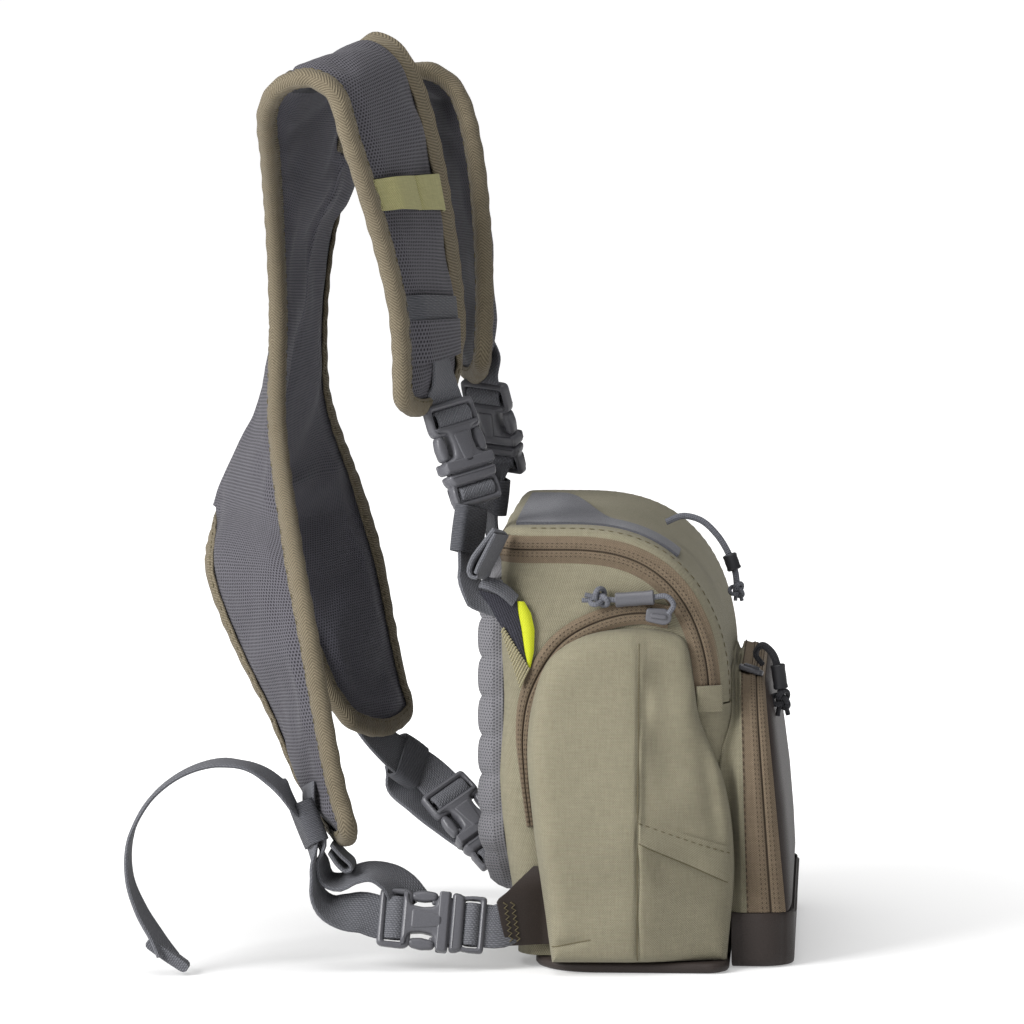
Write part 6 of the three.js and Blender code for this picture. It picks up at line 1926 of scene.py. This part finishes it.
def make_lower_straps():
    make_buckle("lower_near", (-92.4, -94, 19.6), (-54, -92, 16.2), (0, 0.3, 0.95))
    strap("stub_web_near", [
        ((-59.6, -92.3, 16.7), (0, 0.3, 0.95)), ((-53, -92, 16.1), (0, 0.3, 0.95)),
        ((-49.4, -91.8, 15.9), (0, 0.3, 0.95)), ((-45, -90, 17.4), (0, 0.2, 0.98)),
        ((-39, -87.8, 19.4), (-0.1, 0, 1)),
    ], "stub_lower_near")

    def on_leg(section, stand):
        return off_yoke(section, 0.5, -1, stand)

    leg_across = unit(off_yoke(18.4, 0.8, -1, 0) - off_yoke(18.4, 0.2, -1, 0))
    keeper = on_leg(18.9, 9.8)
    leg_down = unit(keeper - on_leg(18.3, 9.8))
    strap("leg_web_near", [
        (on_leg(18.1, 4.4), leg_across), (on_leg(18.5, 7.1), leg_across),
        (on_leg(18.9, 8.2), leg_across), (on_leg(18.9, 8.2) + leg_down * 8, leg_across),
        ((-113.4, -89, 38.4), (0.15, 0.96, 0.2)), ((-111.6, -89.6, 33), (0.1, 0.97, 0.2)),
        ((-106.4, -90, 31.6), (0, 0.96, 0.26)), ((-101.1, -90, 34.4), (-0.05, 0.95, 0.28)),
        ((-95.3, -90, 35.6), (0, 0.95, 0.3)), ((-89.2, -89.6, 33.4), (0.1, 0.85, 0.5)),
        ((-84.5, -88.4, 29.0), (0.1, 0.5, 0.86)), ((-80.5, -88.4, 23), (0, 0.3, 0.95)),
    ], "strap_lower_near")
    strap("tail_web_near", [
        ((-87, -94, 19.2), (0, 0.3, 0.95)), ((-92, -94.6, 19.5), (0, 0.3, 0.95)),
        ((-98, -95, 21.2), (0, 0.45, 0.88)), ((-104.4, -95.2, 21.4), (0.05, 0.65, 0.75)),
        ((-110.8, -95, 23.4), (0.2, 0.87, 0.42)), ((-114.8, -94.2, 28.6), (0.15, 0.97, 0.15)),
        ((-115.4, -93.4, 35), (0.1, 0.98, 0.1)),
        (on_leg(18.9, 11.4) + leg_down * 8, leg_across),
        (on_leg(18.9, 11.4), leg_across),
        (on_leg(18.9, 11.6) - leg_down * 7, mix(leg_across, np.array([0.1, 0.98, 0.06]), 0.45)),
        ((-126.6, -94.4, 65.4), (0.12, 0.98, 0.08)), ((-132, -95.4, 70.4), (0.1, 0.99, 0.08)),
        ((-140, -97, 74.8), (0, 1, 0.02)), ((-150.9, -98, 76), (0, 1, 0.02)),
        ((-163.5, -99, 72), (0, 1, 0)), ((-174.9, -100, 62.8), (-0.02, 1, 0)),
        ((-182, -101, 49.5), (-0.02, 1, 0)), ((-182.6, -102, 35.2), (0, 1, 0)),
        ((-178.1, -104, 22.9), (0.1, 0.99, 0)), ((-171.7, -106, 12.7), (0.25, 0.95, -0.1)),
        ((-167.9, -108, 6.9), (0.5, 0.75, -0.3)),
    ], "tail_lower_near")
    strap("leg_loop_near", [((x, -88.6, z), (0, 1, 0)) for x, z in LEG_LOOP], None, step=0.9)
    hem = Piece()
    line = np.array([(-168.0, y, 7.2) for y in np.linspace(-111.5, -104.5, 6)])
    hem.sweep(line, unit([0.83, 0.0, -0.56]), band_section(18, 3.6, 0.2))
    finished(hem, "tail_hem", [WEBBING], ())
    make_keeper("lower_near", keeper, leg_down, leg_across, 16)
    strap("leg_web_far", [
        (off_yoke(18.3, 0.5, 1, 5.8), (0.2, 0.9, 0.3)), (off_yoke(18.9, 0.5, 1, 7.5), (0.25, 0.85, 0.4)),
        ((-101, 95, 57), (0.3, 0.7, 0.6)), ((-94, 102, 51.5), (0.35, 0.6, 0.7)),
        ((-87.7, 105, 47.0), (0.45, 0.6, 0.65)), ((-83.8, 104.1, 43.4), (0.5, 0.55, 0.67)),
        ((-79.6, 102.2, 39.2), (0.5, 0.55, 0.67)),
    ], "strap_lower_far")
    make_buckle("lower_far", (-82.5, 103.5, 42), (-57, 91.5, 15.5), (0.5, 0.55, 0.67))
    strap("stub_web_far", [
        ((-59.2, 92.6, 17.8), (0.5, 0.55, 0.67)), ((-55.8, 90.9, 14.2), (0.5, 0.55, 0.67)),
        ((-53.5, 90, 12.6), (0.45, 0.5, 0.7)),
        ((-49.6, 88.6, 12.6), (0.1, 0.1, 1)), ((-41, 87.6, 17), (0, 0, 1)),
    ], "stub_lower_far")
    make_keeper("lower_far", (-95.4, 102.2, 51.6), (0.64, 0.55, -0.54), (0.35, 0.6, 0.7), 12)
    strap("tail_web_far", [
        ((-99.9, 107.4, 50.4), (0.35, 0.6, 0.7)), ((-99, 107.6, 43), (0.3, 0.7, 0.6)),
        ((-91, 105, 34.5), (0.2, 0.85, 0.4)), ((-80, 103.8, 26.5), (0.25, 0.85, 0.4)),
        ((-69, 102.3, 19.5), (0.25, 0.85, 0.4)), ((-57.5, 101.3, 14.5), (0.25, 0.85, 0.4)),
    ], "tail_lower_far")


make_upper_straps()
make_lower_straps()


# Zip sliders
def make_slider(name, node, middle, across, along, facing):
    """Zip slider: a tapered body with a bridge on it."""
    piece = Piece()
    place = placed(middle, unit(across), unit(along), unit(facing))
    body = rounded([(-4.2, -2.4), (3, -3.1), (5.2, -1.6), (5.2, 1.6), (3, 3.1), (-4.2, 2.4)], 1.2)
    piece.solid(plate(body, 1.9, 0.6), place)
    bridge = rounded([(-2.6, -0.9), (3.4, -0.9), (3.4, 0.9), (-2.6, 0.9)], 0.8)
    piece.solid(raised(plate(bridge, 1.3, 0.5), 1.2), place)
    finished(piece, name, [PLASTIC], (node,), 35)


def make_sliders():
    for label, side in SIDES:
        make_slider(f"slide_side_{label}", f"side_slider_{label}", (8.5, side * 87.8, 129.4),
                    (0.993, 0, -0.12), (0.12, 0, 0.993), (0, side, 0))
    make_slider("slide_front", "front_slider", (41.5, -52, 106.1),
                (0.955, 0, -0.296), (0, 1, 0), (0.296, 0, 0.955))


make_sliders()


# Floor and studio light
def make_stage():
    mesh = bpy.data.meshes.new("floor")
    size = 300.0
    level = -NAPE[2] * MILLIMETRE
    corners = [(-size, -size, level), (size, -size, level), (size, size, level), (-size, size, level)]
    mesh.from_pydata(corners, [], [(0, 1, 2, 3)])
    material = bpy.data.materials.new("pale floor")
    material.use_nodes = True
    tree = material.node_tree
    shader = tree.nodes["Principled BSDF"]
    set_inputs(shader, {
        "Base Color": (0.6, 0.6, 0.6, 1), "Roughness": 0.9, "Specular IOR Level": 0.05,
        "Emission Strength": 1.0,
    })
    coordinates = tree.nodes.new("ShaderNodeTexCoord")
    reach = tree.nodes.new("ShaderNodeVectorMath")
    reach.operation = "DISTANCE"
    reach.inputs[1].default_value = (0.04, -0.03, level)
    # The floor glows so that it reads white; its glow drops near the bag, a painted shadow round the bag
    glow_with_painted_shade = tree.nodes.new("ShaderNodeMapRange")
    set_inputs(glow_with_painted_shade, {"From Min": 0.06, "From Max": 0.5, "To Min": 0.27, "To Max": 0.85})
    tree.links.new(coordinates.outputs["Object"], reach.inputs[0])
    tree.links.new(reach.outputs["Value"], glow_with_painted_shade.inputs["Value"])
    tree.links.new(glow_with_painted_shade.outputs[0], shader.inputs["Emission Color"])
    mesh.materials.append(material)
    floor = shown(bpy.data.objects.new("floor", mesh))
    world = bpy.data.worlds.new("studio")
    world.use_nodes = True
    set_inputs(world.node_tree.nodes["Background"], {"Color": (1, 1, 1, 1), "Strength": 0.28})
    SCENE.world = world
    for name, place, aim, width, power in (
        ("key", (-1.7, -1.6, 0.9), (0.05, 0, -0.12), 1.3, 105.0),
        ("top", (-0.2, -0.3, 1.9), (0.05, 0, -0.15), 1.6, 28.0),
    ):
        light = bpy.data.lights.new(name, "AREA")
        light.energy = power
        light.size = width
        item = shown(bpy.data.objects.new(name, light))
        item.location = place
        away = np.asarray(place) - np.asarray(aim)
        flat = math.hypot(away[0], away[1])
        item.rotation_euler = (math.atan2(flat, away[2]), 0, math.atan2(away[0], -away[1]))
    SCENE.view_settings.view_transform = "Standard"


make_stage()
